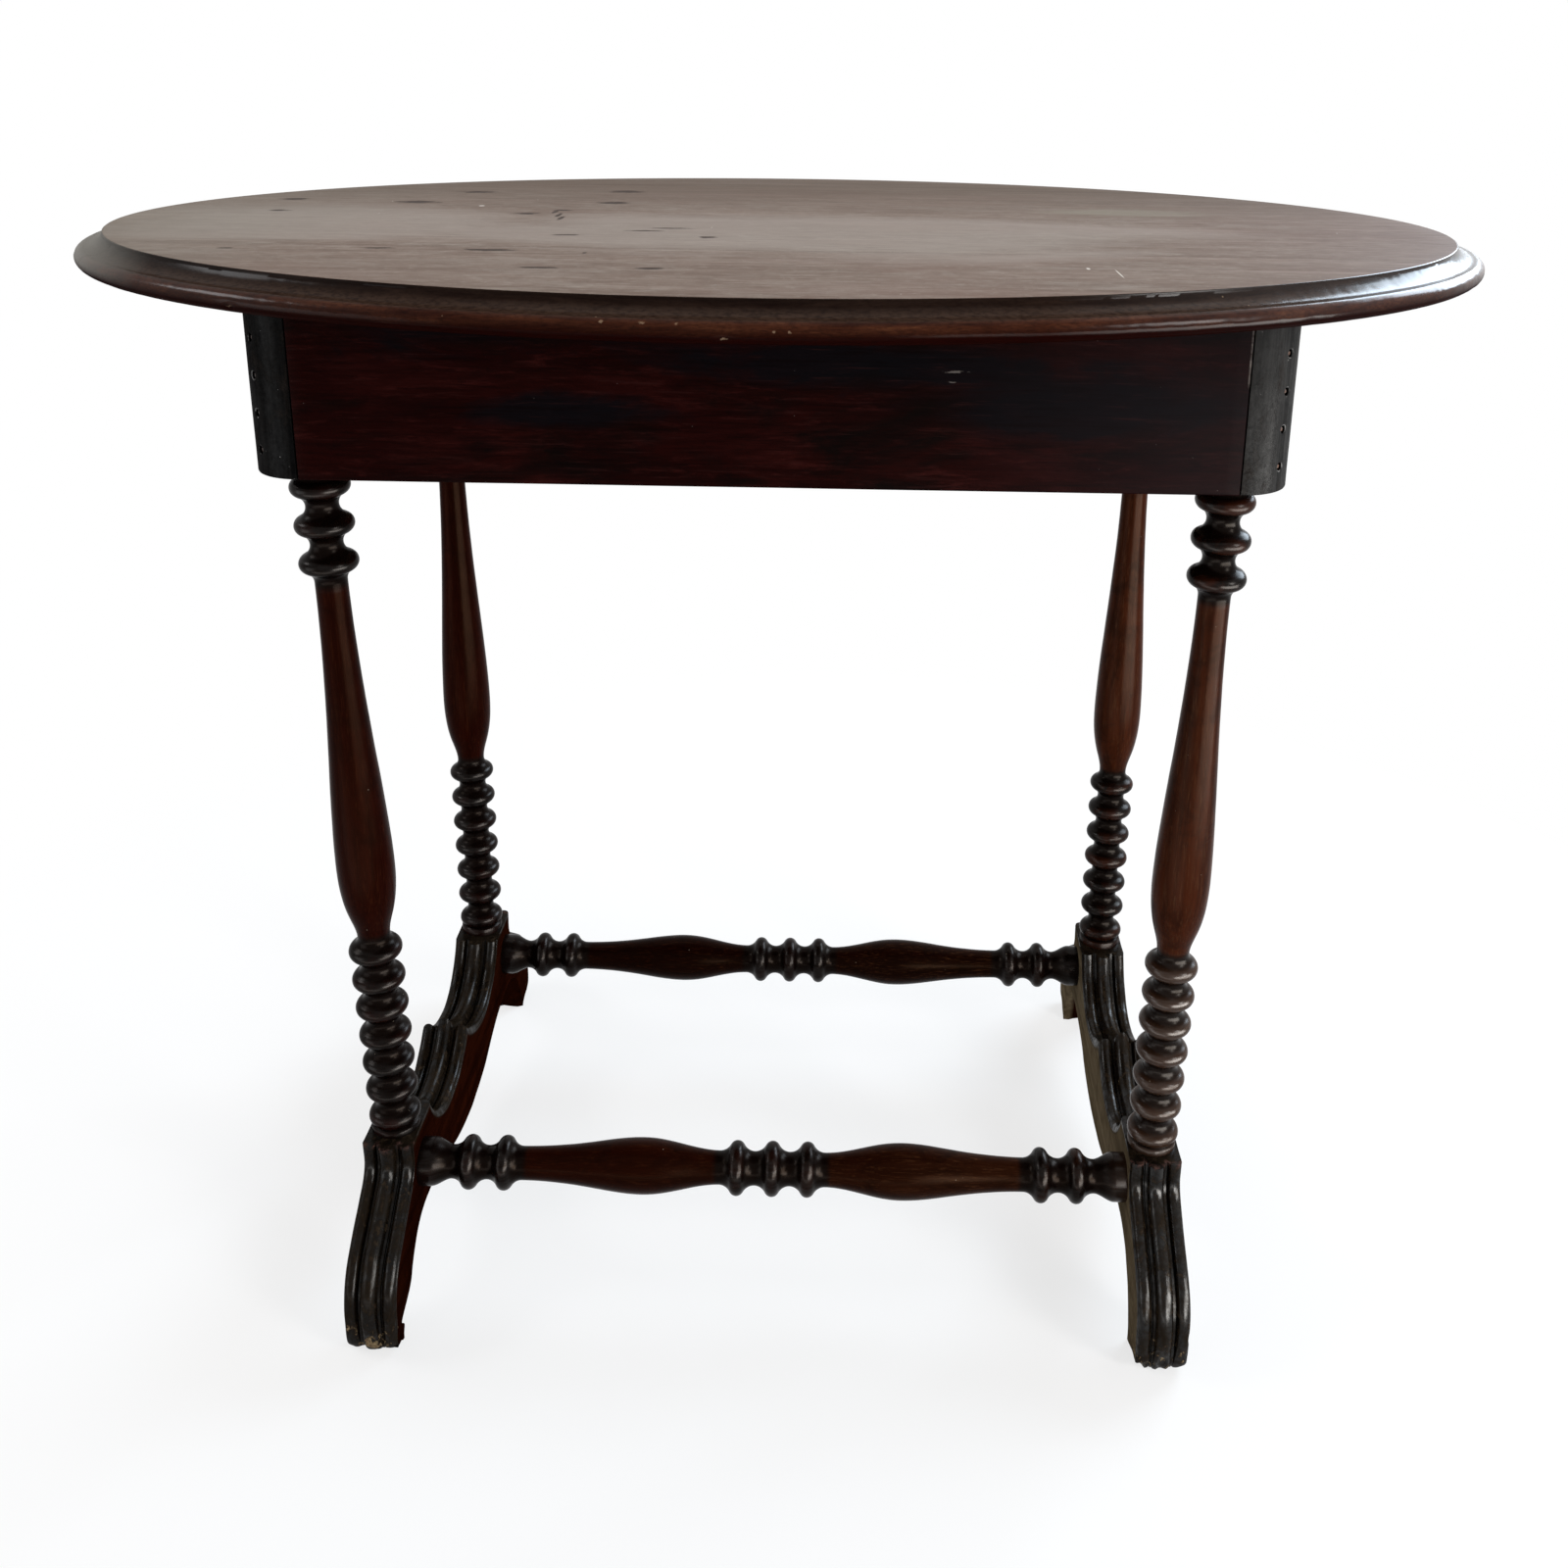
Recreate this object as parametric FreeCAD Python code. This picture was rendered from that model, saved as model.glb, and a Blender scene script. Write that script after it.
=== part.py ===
"""Oval tavern table.

A glued-up oval top with a moulded edge sits on a shallow boxed apron with rounded corner pieces.
Four bobbin-turned legs stand on two arched trestle feet with reeded edges, and two turned
stretchers tie the trestles together.

Millimetres, +Z up. The origin is on the floor, midway between the feet. The front is -Y.
"""
import math
import os

import FreeCAD
import Part

V = FreeCAD.Vector
AXIS_X = V(1, 0, 0)
AXIS_Y = V(0, 1, 0)
AXIS_Z = V(0, 0, 1)

# Top
TABLE_HEIGHT = 735.0
TOP_LENGTH = 890.0
TOP_DEPTH = 681.0
TOP_THICKNESS = 19.5
OUTER_BOARD_WIDTH = 186.5  # of the front and rear boards of the top
EDGE_WIDTH = 16.5  # from the arris of the flat to the outermost line of the bead
QUIRK_DEPTH = 1.8
BEAD_RADIUS = 5.6
BEAD_LOW_ANGLE = 75.0  # where the bead stops above the underside, in degrees below level

# Apron
END_OVERHANG = 141.0  # of the top past the apron, at its ends
SIDE_OVERHANG = 156.5  # of the top past the apron, at front and rear
APRON_HEIGHT = 112.0
APRON_THICKNESS = 18.0
CORNER_RADIUS = 33.0
BEARER_WIDTH = 50.0
BEARER_HEIGHT = 34.0
CORNER_BLOCK = 30.0
GLUE_BLOCK = 20.0
GLUE_BLOCK_LENGTH = 70.0
GLUE_BLOCK_MARGIN = 20.0  # from the corner block to the nearest glue block
NAIL_RADIUS = 1.1
NAIL_LENGTH = 18.0
NAIL_SINK = 1.5
NAIL_COUNT = 4
NAIL_FIRST = 15.0  # from the lower edge of the apron to the lowest nail
NAIL_PITCH = 22.0
NAIL_ANGLE = 44.0  # round the corner from the side board, in degrees

# Legs, whose heads are housed in the bearers and whose feet stand on the trestles
LEG_HEAD_INSET_X = 14.0  # from the inner face of the side board to the leg's axis
LEG_HEAD_INSET_Y = 19.0  # from the inner face of the front board to the leg's axis
LEG_RAKE_X = 7.4  # how far the foot stands in from the head
LEG_RAKE_Y = 18.8
LEG_TENON_RADIUS = 9.0
LEG_FOOT_TENON = 16.0
LEG_HEAD_TENON = 26.0
LEG_COLLAR_RADIUS = 16.5
LEG_COLLAR_HEIGHT = 4.5
LEG_QUIRK_RADIUS = 14.0  # of the groove between the end ring and the collar
LEG_SHOULDER_SPARE = 3.0  # turned on at each end, then cut off level
LOWER_RINGS = 7
LOWER_RING_PITCH = 22.3
LOWER_RING_RADIUS = 17.5
LOWER_NECK_RADIUS = 10.6
LOWER_RING_MARGIN = 11.0  # from the trestle seat to the middle of the lowest ring
UPPER_RINGS = 3
UPPER_RING_PITCH = 24.6
UPPER_RING_RADIUS = 18.0
UPPER_NECK_RADIUS = 9.9
UPPER_RING_MARGIN = 13.5  # from the bearer to the middle of the highest ring
RING_NOSE_RADIUS = 5.4
VASE_RADIUS = 18.5
VASE_SHOULDER_RADIUS = 14.6
VASE_SHOULDER_RISE = 18.0
VASE_BELLY_RISE = 62.0
VASE_NECK_RADIUS = 10.7
VASE_NECK_DROP = 45.0

# Stretchers
STRETCHER_OFFSET = 2.8  # outwards from the leg's foot
STRETCHER_Z = 89.6
STRETCHER_RING_PITCH = 24.8
STRETCHER_RING_RADIUS = 18.4
STRETCHER_NECK_RADIUS = 11.3
STRETCHER_END_RINGS = 2
STRETCHER_END_MARGIN = 34.0  # from the trestle to the middle of the outermost ring
STRETCHER_VASE_RADIUS = 18.4
STRETCHER_VASE_RISE = 45.0
STRETCHER_BELL_RADIUS = 16.5
STRETCHER_BELL_LENGTH = 7.5
STRETCHER_TENON_RADIUS = 8.0
STRETCHER_TENON = 18.0

# Trestle feet, as a side profile with half-round reeds along its upper edges
TRESTLE_THICKNESS = 35.0
SEAT_HEIGHT = 118.4
SEAT_LENGTH = 43.0
CREST_HEIGHT = 104.0
VALLEY_HEIGHT = 83.0
FOOT_REACH = 83.8  # from the leg to the front of the toe
FOOT_DROP = 12.0  # straight fall from the seat to the hollow of the foot
FOOT_HOLLOW_RADIUS = 20.0
FOOT_SLOPE = 35.0  # degrees below level
FOOT_ROUND_RADIUS = 45.0
TOE_TUCK = 4.0  # degrees past upright
HEEL_REACH = 53.8  # from the leg to the heel
ARCH_HEIGHT = 56.0
DROP_HEIGHT = 34.0  # floor to the low middle of the underside
SIDE_REED_RADIUS = 3.6
SIDE_REED_INSET = 0.4
CENTRE_REED_RADIUS = 6.5
CENTRE_REED_RAISE = 1.8
REED_OVERRUN = 13.0  # past each end of the foot, then trimmed flush
REED_OVERRUN_ANGLE = 13.0  # past each end of a scallop, in degrees, then trimmed flush

# Fits
TENON_CLEARANCE = 0.15
MORTISE_CLEARANCE = 1.0

# Values that follow from those above
TOP_UNDERSIDE = TABLE_HEIGHT - TOP_THICKNESS
BOARD_JOINT = TOP_DEPTH / 2 - OUTER_BOARD_WIDTH
APRON_LENGTH = TOP_LENGTH - 2 * END_OVERHANG
APRON_DEPTH = TOP_DEPTH - 2 * SIDE_OVERHANG
APRON_BOTTOM = TOP_UNDERSIDE - APRON_HEIGHT
FRONT_INSIDE = APRON_DEPTH / 2 - APRON_THICKNESS
SIDE_INSIDE = APRON_LENGTH / 2 - APRON_THICKNESS
SEAM_X = APRON_LENGTH / 2 - CORNER_RADIUS
SEAM_Y = APRON_DEPTH / 2 - CORNER_RADIUS
LEG_HEAD_X = SIDE_INSIDE - LEG_HEAD_INSET_X
LEG_HEAD_Y = FRONT_INSIDE - LEG_HEAD_INSET_Y
LEG_FOOT_X = LEG_HEAD_X - LEG_RAKE_X
LEG_FOOT_Y = LEG_HEAD_Y - LEG_RAKE_Y
TRESTLE_INSIDE = LEG_FOOT_X - TRESTLE_THICKNESS / 2
STRETCHER_Y = LEG_FOOT_Y + STRETCHER_OFFSET
SEAT_BACK = LEG_FOOT_Y - SEAT_LENGTH / 2
SEAT_FRONT = LEG_FOOT_Y + SEAT_LENGTH / 2
VALLEY_Y = SEAT_BACK / 2
HEEL_Y = LEG_FOOT_Y + HEEL_REACH
TOE_Y = LEG_FOOT_Y + FOOT_REACH
ENDS = (("left", -1), ("right", 1))
SIDES = (("front", -1), ("rear", 1))


def box(x_range, y_range, z_range):
    """A block between the given limits."""
    size = [high - low for low, high in (x_range, y_range, z_range)]
    return Part.makeBox(*size, V(x_range[0], y_range[0], z_range[0]))


def arc_about(centre, start, end):
    """The short arc from start to end round centre."""
    middle = (start - centre) + (end - centre)
    middle.normalize()
    return Part.Arc(start, centre + middle * (start - centre).Length, end).toShape()


def solid_of(shape):
    """One clean solid out of a boolean result."""
    return shape.removeSplitter().Solids[0]


def save(name, shape):
    shape.exportStep("parts/" + name + ".step")


# Top


def oval_top():
    """The whole oval slab with its quirk, cove and bead run round the edge."""
    arris_length = TOP_LENGTH / 2 - EDGE_WIDTH
    arris_depth = TOP_DEPTH / 2 - EDGE_WIDTH
    spare = BEAD_RADIUS
    outside = EDGE_WIDTH + 2 * spare
    bead_middle = TOP_UNDERSIDE + BEAD_RADIUS
    bead_offset = EDGE_WIDTH - BEAD_RADIUS
    low = math.radians(BEAD_LOW_ANGLE)

    def at(offset, height):
        return V(arris_length + offset, 0, height)

    quirk_foot = at(0, TABLE_HEIGHT - QUIRK_DEPTH)
    bead_top = at(bead_offset, bead_middle + BEAD_RADIUS)
    fall = quirk_foot.z - bead_top.z
    cove_radius = (bead_offset**2 + fall**2) / (2 * fall)
    bead_centre = at(bead_offset, bead_middle)
    bead_foot = at(
        bead_offset + BEAD_RADIUS * math.cos(low), bead_middle - BEAD_RADIUS * math.sin(low)
    )
    bead_nose = at(EDGE_WIDTH, bead_middle)
    below = at(bead_foot.x - arris_length, TOP_UNDERSIDE - spare)
    waste = [
        Part.makeLine(at(0, TABLE_HEIGHT + spare), quirk_foot),
        arc_about(bead_top + V(0, 0, cove_radius), quirk_foot, bead_top),
        arc_about(bead_centre, bead_top, bead_nose),
        arc_about(bead_centre, bead_nose, bead_foot),
        Part.makeLine(bead_foot, below),
        Part.makeLine(below, at(outside, TOP_UNDERSIDE - spare)),
        Part.makeLine(at(outside, TOP_UNDERSIDE - spare), at(outside, TABLE_HEIGHT + spare)),
        Part.makeLine(at(outside, TABLE_HEIGHT + spare), at(0, TABLE_HEIGHT + spare)),
    ]
    arris = Part.Ellipse(V(0, 0, TABLE_HEIGHT), arris_length, arris_depth)
    cutter = Part.Wire([arris.toShape()]).makePipeShell([Part.Wire(waste)], True, True)
    blank = Part.Ellipse(V(0, 0, TOP_UNDERSIDE), TOP_LENGTH / 2 + spare, TOP_DEPTH / 2 + spare)
    slab = Part.Face(Part.Wire([blank.toShape()])).extrude(V(0, 0, TOP_THICKNESS))
    return slab.cut(cutter).Solids[0]


def save_top():
    top = oval_top()
    across = (-TOP_LENGTH, TOP_LENGTH)
    height = (0, 2 * TABLE_HEIGHT)
    strips = (
        ("front", (-TOP_DEPTH, -BOARD_JOINT)),
        ("middle", (-BOARD_JOINT, BOARD_JOINT)),
        ("rear", (BOARD_JOINT, TOP_DEPTH)),
    )
    for name, strip in strips:
        save("top_board_" + name, top.common(box(across, strip, height)).Solids[0])


# Apron


def apron_height():
    return (APRON_BOTTOM, TOP_UNDERSIDE)


def corner_piece(end, side):
    """A quarter-round corner with a square rabbet inside, flush with the boards' inner faces."""

    def at(x, y):
        return V(end * x, side * y, APRON_BOTTOM)

    centre = at(SEAM_X, SEAM_Y)
    front = at(SEAM_X, APRON_DEPTH / 2)
    flank = at(APRON_LENGTH / 2, SEAM_Y)
    inner = [at(SIDE_INSIDE, SEAM_Y), at(SIDE_INSIDE, FRONT_INSIDE), at(SEAM_X, FRONT_INSIDE)]
    path = [flank] + inner + [front]
    edges = [Part.makeLine(start, stop) for start, stop in zip(path, path[1:])]
    outline = Part.Wire([arc_about(centre, front, flank)] + edges)
    return Part.Face(outline).extrude(V(0, 0, APRON_HEIGHT))


def nail(end, side, height, head_radius):
    """A nail that points at the centre of the corner, its head at head_radius from there."""
    angle = math.radians(NAIL_ANGLE)
    outward = V(end * math.cos(angle), side * math.sin(angle), 0)
    centre = V(end * SEAM_X, side * SEAM_Y, height)
    tip_radius = CORNER_RADIUS - NAIL_SINK - NAIL_LENGTH
    length = head_radius - tip_radius
    return Part.makeCylinder(NAIL_RADIUS, length, centre + outward * tip_radius, outward)


def nail_heights():
    return [APRON_BOTTOM + NAIL_FIRST + NAIL_PITCH * i for i in range(NAIL_COUNT)]


def corner_nails(end, side, head_radius):
    return [nail(end, side, height, head_radius) for height in nail_heights()]


def bearer(end):
    """The cross rail inside the apron that takes the heads of two legs."""
    inner = SIDE_INSIDE - BEARER_WIDTH
    x_range = sorted((end * inner, end * SIDE_INSIDE))
    top = APRON_BOTTOM + BEARER_HEIGHT
    return box(x_range, (-FRONT_INSIDE, FRONT_INSIDE), (APRON_BOTTOM, top))


def corner_block(end, side):
    """An upright block in the inner corner, from the bearer up to the top."""
    x_range = sorted((end * (SIDE_INSIDE - CORNER_BLOCK), end * SIDE_INSIDE))
    y_range = sorted((side * (FRONT_INSIDE - CORNER_BLOCK), side * FRONT_INSIDE))
    return box(x_range, y_range, (APRON_BOTTOM + BEARER_HEIGHT, TOP_UNDERSIDE))


def glue_block(angle, inside, along):
    """A three-cornered block rubbed into the angle of apron and top, at a distance along the board."""
    start = along - GLUE_BLOCK_LENGTH / 2
    corners = [
        V(start, inside, TOP_UNDERSIDE),
        V(start, inside - GLUE_BLOCK, TOP_UNDERSIDE),
        V(start, inside, TOP_UNDERSIDE - GLUE_BLOCK),
    ]
    block = Part.Face(Part.makePolygon(corners + corners[:1])).extrude(V(GLUE_BLOCK_LENGTH, 0, 0))
    block.rotate(V(0, 0, 0), AXIS_Z, angle)
    return block


def glue_blocks():
    """Three blocks along each long board and one in the middle of each short one."""
    outer = SIDE_INSIDE - CORNER_BLOCK - GLUE_BLOCK_MARGIN - GLUE_BLOCK_LENGTH / 2
    blocks = []
    for angle in (0, 180):
        for along in (-outer, 0, outer):
            blocks.append(glue_block(angle, FRONT_INSIDE, along))
    for angle in (90, 270):
        blocks.append(glue_block(angle, SIDE_INSIDE, 0))
    return blocks


def save_apron():
    height = apron_height()
    for name, side in SIDES:
        y_range = sorted((side * FRONT_INSIDE, side * APRON_DEPTH / 2))
        save("apron_" + name, box((-SEAM_X, SEAM_X), y_range, height))
    nails = []
    blocks = []
    for end_name, end in ENDS:
        x_range = sorted((end * SIDE_INSIDE, end * APRON_LENGTH / 2))
        save("apron_" + end_name, box(x_range, (-SEAM_Y, SEAM_Y), height))
        holes = []
        for side_name, side in SIDES:
            bores = corner_nails(end, side, CORNER_RADIUS + NAIL_SINK)
            corner = corner_piece(end, side).cut(bores)
            save("corner_" + side_name + "_" + end_name, solid_of(corner))
            blocks.append(solid_of(corner_block(end, side).cut(bores)))
            nails += corner_nails(end, side, CORNER_RADIUS - NAIL_SINK)
            holes += bores
            holes.append(leg_mortise(end, side, leg_length(), LEG_HEAD_TENON))
        save("bearer_" + end_name, solid_of(bearer(end).cut(holes)))
    save("corner_blocks", Part.makeCompound(blocks))
    save("corner_nails", Part.makeCompound(nails))
    save("glue_blocks", Part.makeCompound(glue_blocks()))


# Turnings, drawn as (radius, station) in the XZ plane and turned round Z


def station(radius, height):
    return V(radius, 0, height)


def nose_angle(pitch, ring_radius, neck_radius):
    """Half the angle of a ring's nose, where it runs into the necks in one smooth wave."""
    depth = ring_radius - neck_radius
    reach = ((pitch / 2) ** 2 + depth**2) / (2 * depth)
    return math.asin(pitch / 2 / reach)


def nose_point(middle, ring_radius, angle):
    centre = ring_radius - RING_NOSE_RADIUS
    return station(
        centre + RING_NOSE_RADIUS * math.cos(angle), middle + RING_NOSE_RADIUS * math.sin(angle)
    )


def nose(middle, ring_radius, low, high):
    tip = station(ring_radius, middle)
    return Part.Arc(
        nose_point(middle, ring_radius, low), tip, nose_point(middle, ring_radius, high)
    ).toShape()


def half_neck(middle, pitch, ring_radius, neck_radius, way):
    """The hollow from a ring's nose to the middle of the neck above it (way 1) or below it (-1)."""
    angle = nose_angle(pitch, ring_radius, neck_radius)
    depth = ring_radius - neck_radius
    hollow_radius = ((pitch / 2) ** 2 + depth**2) / (2 * depth) - RING_NOSE_RADIUS
    trough = station(neck_radius, middle + way * pitch / 2)
    centre = trough + V(hollow_radius, 0, 0)
    return arc_about(centre, nose_point(middle, ring_radius, way * angle), trough)


def ring(middle, pitch, ring_radius, neck_radius):
    """One ring with half a neck on either side."""
    angle = nose_angle(pitch, ring_radius, neck_radius)
    return [
        half_neck(middle, pitch, ring_radius, neck_radius, -1),
        nose(middle, ring_radius, -angle, angle),
        half_neck(middle, pitch, ring_radius, neck_radius, 1),
    ]


def end_ring(middle, pitch, ring_radius, neck_radius, shoulder, way):
    """The last ring of a leg: half a neck on its inner side, a quirk and a collar on its outer."""
    angle = nose_angle(pitch, ring_radius, neck_radius)
    quirk = math.acos((LEG_QUIRK_RADIUS - ring_radius + RING_NOSE_RADIUS) / RING_NOSE_RADIUS)
    groove = nose_point(middle, ring_radius, way * quirk)
    collar = station(LEG_COLLAR_RADIUS, shoulder - way * LEG_COLLAR_HEIGHT)
    collar_end = station(LEG_COLLAR_RADIUS, shoulder + way * LEG_SHOULDER_SPARE)
    return [
        half_neck(middle, pitch, ring_radius, neck_radius, -way),
        nose(middle, ring_radius, -way * angle, way * quirk),
        Part.makeLine(groove, collar),
        Part.makeLine(collar, collar_end),
    ]


def smooth(points):
    """A curve through the points that leaves and arrives parallel to the turning's axis."""
    curve = Part.BSplineCurve()
    curve.interpolate(Points=points, InitialTangent=AXIS_Z, FinalTangent=AXIS_Z)
    return curve.toShape()


def turn(edges, low, high):
    """A solid of revolution between two stations whose outline is made of the given edges."""
    first = station(low[0], low[1])
    last = station(high[0], high[1])
    closing = [
        Part.makeLine(station(0, low[1]), first),
        Part.makeLine(last, station(0, high[1])),
        Part.makeLine(station(0, high[1]), station(0, low[1])),
    ]
    outline = Part.Wire(Part.sortEdges(edges + closing)[0])
    return Part.Face(outline).revolve(V(0, 0, 0), AXIS_Z, 360)


# Legs


def leg_foot(end, side):
    return V(end * LEG_FOOT_X, side * LEG_FOOT_Y, SEAT_HEIGHT)


def leg_head(end, side):
    return V(end * LEG_HEAD_X, side * LEG_HEAD_Y, APRON_BOTTOM)


def leg_length():
    return (leg_head(1, 1) - leg_foot(1, 1)).Length


def on_leg_axis(shape, end, side):
    """Stand a shape that is drawn up the Z axis on the leg's own leaning axis."""
    lean = leg_head(end, side) - leg_foot(end, side)
    shape.Placement = FreeCAD.Placement(leg_foot(end, side), FreeCAD.Rotation(AXIS_Z, lean))
    return shape


def leg_mortise(end, side, shoulder, tenon):
    """The round hole for a leg's tenon, going up from its head or down from its foot."""
    way = 1 if shoulder > 0 else -1
    depth = tenon + MORTISE_CLEARANCE
    start = V(0, 0, shoulder - way * depth)
    hole = Part.makeCylinder(LEG_TENON_RADIUS + TENON_CLEARANCE, 2 * depth, start, AXIS_Z * way)
    return on_leg_axis(hole, end, side)


def leg_turning():
    """The leg up its own axis from the trestle seat: rings, vase, rings, with a tenon at each end."""
    length = leg_length()
    lower = [LOWER_RING_MARGIN + LOWER_RING_PITCH * i for i in range(LOWER_RINGS)]
    upper = [length - UPPER_RING_MARGIN - UPPER_RING_PITCH * i for i in range(UPPER_RINGS)]
    lower_shape = (LOWER_RING_PITCH, LOWER_RING_RADIUS, LOWER_NECK_RADIUS)
    upper_shape = (UPPER_RING_PITCH, UPPER_RING_RADIUS, UPPER_NECK_RADIUS)
    vase_foot = lower[-1] + LOWER_RING_PITCH / 2
    vase_head = upper[-1] - UPPER_RING_PITCH / 2
    belly = vase_foot + VASE_BELLY_RISE
    neck = vase_head - VASE_NECK_DROP
    half_way = (belly + neck) / 2
    edges = end_ring(lower[0], *lower_shape, 0.0, -1)
    for middle in lower[1:]:
        edges += ring(middle, *lower_shape)
    vase = [
        station(LOWER_NECK_RADIUS, vase_foot),
        station(VASE_SHOULDER_RADIUS, vase_foot + VASE_SHOULDER_RISE),
        station(VASE_RADIUS, belly),
        station((VASE_RADIUS + VASE_NECK_RADIUS) / 2, half_way),
        station(VASE_NECK_RADIUS, neck),
        station(UPPER_NECK_RADIUS, vase_head),
    ]
    edges.append(smooth(vase))
    for middle in reversed(upper[1:]):
        edges += ring(middle, *upper_shape)
    edges += end_ring(upper[0], *upper_shape, length, 1)
    low = (LEG_COLLAR_RADIUS, -LEG_SHOULDER_SPARE)
    high = (LEG_COLLAR_RADIUS, length + LEG_SHOULDER_SPARE)
    return turn(edges, low, high)


def leg(end, side):
    """A leaning leg whose shoulders are cut level to seat on the trestle and under the bearer."""
    body = on_leg_axis(leg_turning(), end, side)
    wide = (-TOP_LENGTH, TOP_LENGTH)
    body = body.common(box(wide, wide, (SEAT_HEIGHT, APRON_BOTTOM)))
    tenons = Part.makeCylinder(
        LEG_TENON_RADIUS,
        leg_length() + LEG_FOOT_TENON + LEG_HEAD_TENON,
        V(0, 0, -LEG_FOOT_TENON),
    )
    return solid_of(body.fuse(on_leg_axis(tenons, end, side)))


# Stretchers


def half_nose(pitch, ring_radius, neck_radius):
    """The upper half of the nose of the ring at the stretcher's middle."""
    centre = station(ring_radius - RING_NOSE_RADIUS, 0)
    top = nose_point(0, ring_radius, nose_angle(pitch, ring_radius, neck_radius))
    return arc_about(centre, station(ring_radius, 0), top)


def stretcher_half():
    """Half a stretcher up the Z axis from its middle ring to its tenon."""
    shape = (STRETCHER_RING_PITCH, STRETCHER_RING_RADIUS, STRETCHER_NECK_RADIUS)
    pitch = STRETCHER_RING_PITCH
    outer = [
        TRESTLE_INSIDE - STRETCHER_END_MARGIN - pitch * i for i in range(STRETCHER_END_RINGS)
    ]
    edges = [half_nose(*shape), half_neck(0, *shape, 1)]
    edges += ring(pitch, *shape)
    vase_foot = pitch + pitch / 2
    vase_head = outer[-1] - pitch / 2
    belly = vase_foot + STRETCHER_VASE_RISE
    half_way = (belly + vase_head) / 2
    vase = [
        station(STRETCHER_NECK_RADIUS, vase_foot),
        station(STRETCHER_VASE_RADIUS, belly),
        station((STRETCHER_VASE_RADIUS + STRETCHER_NECK_RADIUS) / 2, half_way),
        station(STRETCHER_NECK_RADIUS, vase_head),
    ]
    edges.append(smooth(vase))
    for middle in reversed(outer):
        edges += ring(middle, *shape)
    bell = TRESTLE_INSIDE - STRETCHER_BELL_LENGTH
    flare = [
        station(STRETCHER_NECK_RADIUS, outer[0] + pitch / 2),
        station(STRETCHER_BELL_RADIUS, bell),
    ]
    edges.append(smooth(flare))
    shoulder = station(STRETCHER_BELL_RADIUS, TRESTLE_INSIDE)
    tenon_root = station(STRETCHER_TENON_RADIUS, TRESTLE_INSIDE)
    tenon_end = TRESTLE_INSIDE + STRETCHER_TENON
    edges += [
        Part.makeLine(flare[-1], shoulder),
        Part.makeLine(shoulder, tenon_root),
        Part.makeLine(tenon_root, station(STRETCHER_TENON_RADIUS, tenon_end)),
    ]
    return turn(edges, (STRETCHER_RING_RADIUS, 0), (STRETCHER_TENON_RADIUS, tenon_end))


def stretcher(side):
    half = stretcher_half()
    half.rotate(V(0, 0, 0), AXIS_Y, 90)
    whole = solid_of(half.fuse(half.mirror(V(0, 0, 0), AXIS_X)))
    whole.translate(V(0, side * STRETCHER_Y, STRETCHER_Z))
    return whole


def stretcher_mortise(end, side):
    depth = STRETCHER_TENON + MORTISE_CLEARANCE
    mouth = V(end * TRESTLE_INSIDE, side * STRETCHER_Y, STRETCHER_Z)
    radius = STRETCHER_TENON_RADIUS + TENON_CLEARANCE
    return Part.makeCylinder(radius, depth, mouth, AXIS_X * end)


# Trestle feet, drawn in the YZ plane with the trestle's own middle at x = 0


def upright(y, z):
    return V(0, y, z)


def polar(centre, radius, degrees):
    angle = math.radians(degrees)
    return centre + upright(math.cos(angle), math.sin(angle)) * radius


class Run:
    """A stretch of a reeded edge: a straight line, or an arc about a centre through some degrees."""

    def __init__(self, start, stop=None, centre=None, degrees=0.0):
        self.start = start
        self.centre = centre
        self.degrees = degrees
        self.stop = stop if centre is None else self.turned(degrees)

    def turned(self, degrees):
        spoke = self.start - self.centre
        return self.centre + FreeCAD.Rotation(AXIS_X, degrees).multVec(spoke)

    def edge(self):
        if self.centre is None:
            return Part.makeLine(self.start, self.stop)
        return Part.Arc(self.start, self.turned(self.degrees / 2), self.stop).toShape()

    def heading(self):
        if self.centre is None:
            return (self.stop - self.start).normalize()
        way = 1 if self.degrees > 0 else -1
        return AXIS_X.cross(self.start - self.centre).normalize() * way

    def reed(self, radius, x):
        """A round bar of the given radius that follows this stretch at a distance x to the side."""
        place = self.start + V(x, 0, 0)
        section = Part.Face(Part.Wire([Part.Circle(place, self.heading(), radius).toShape()]))
        if self.centre is None:
            return section.extrude(self.stop - self.start)
        return section.revolve(self.centre, AXIS_X, self.degrees)


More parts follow.
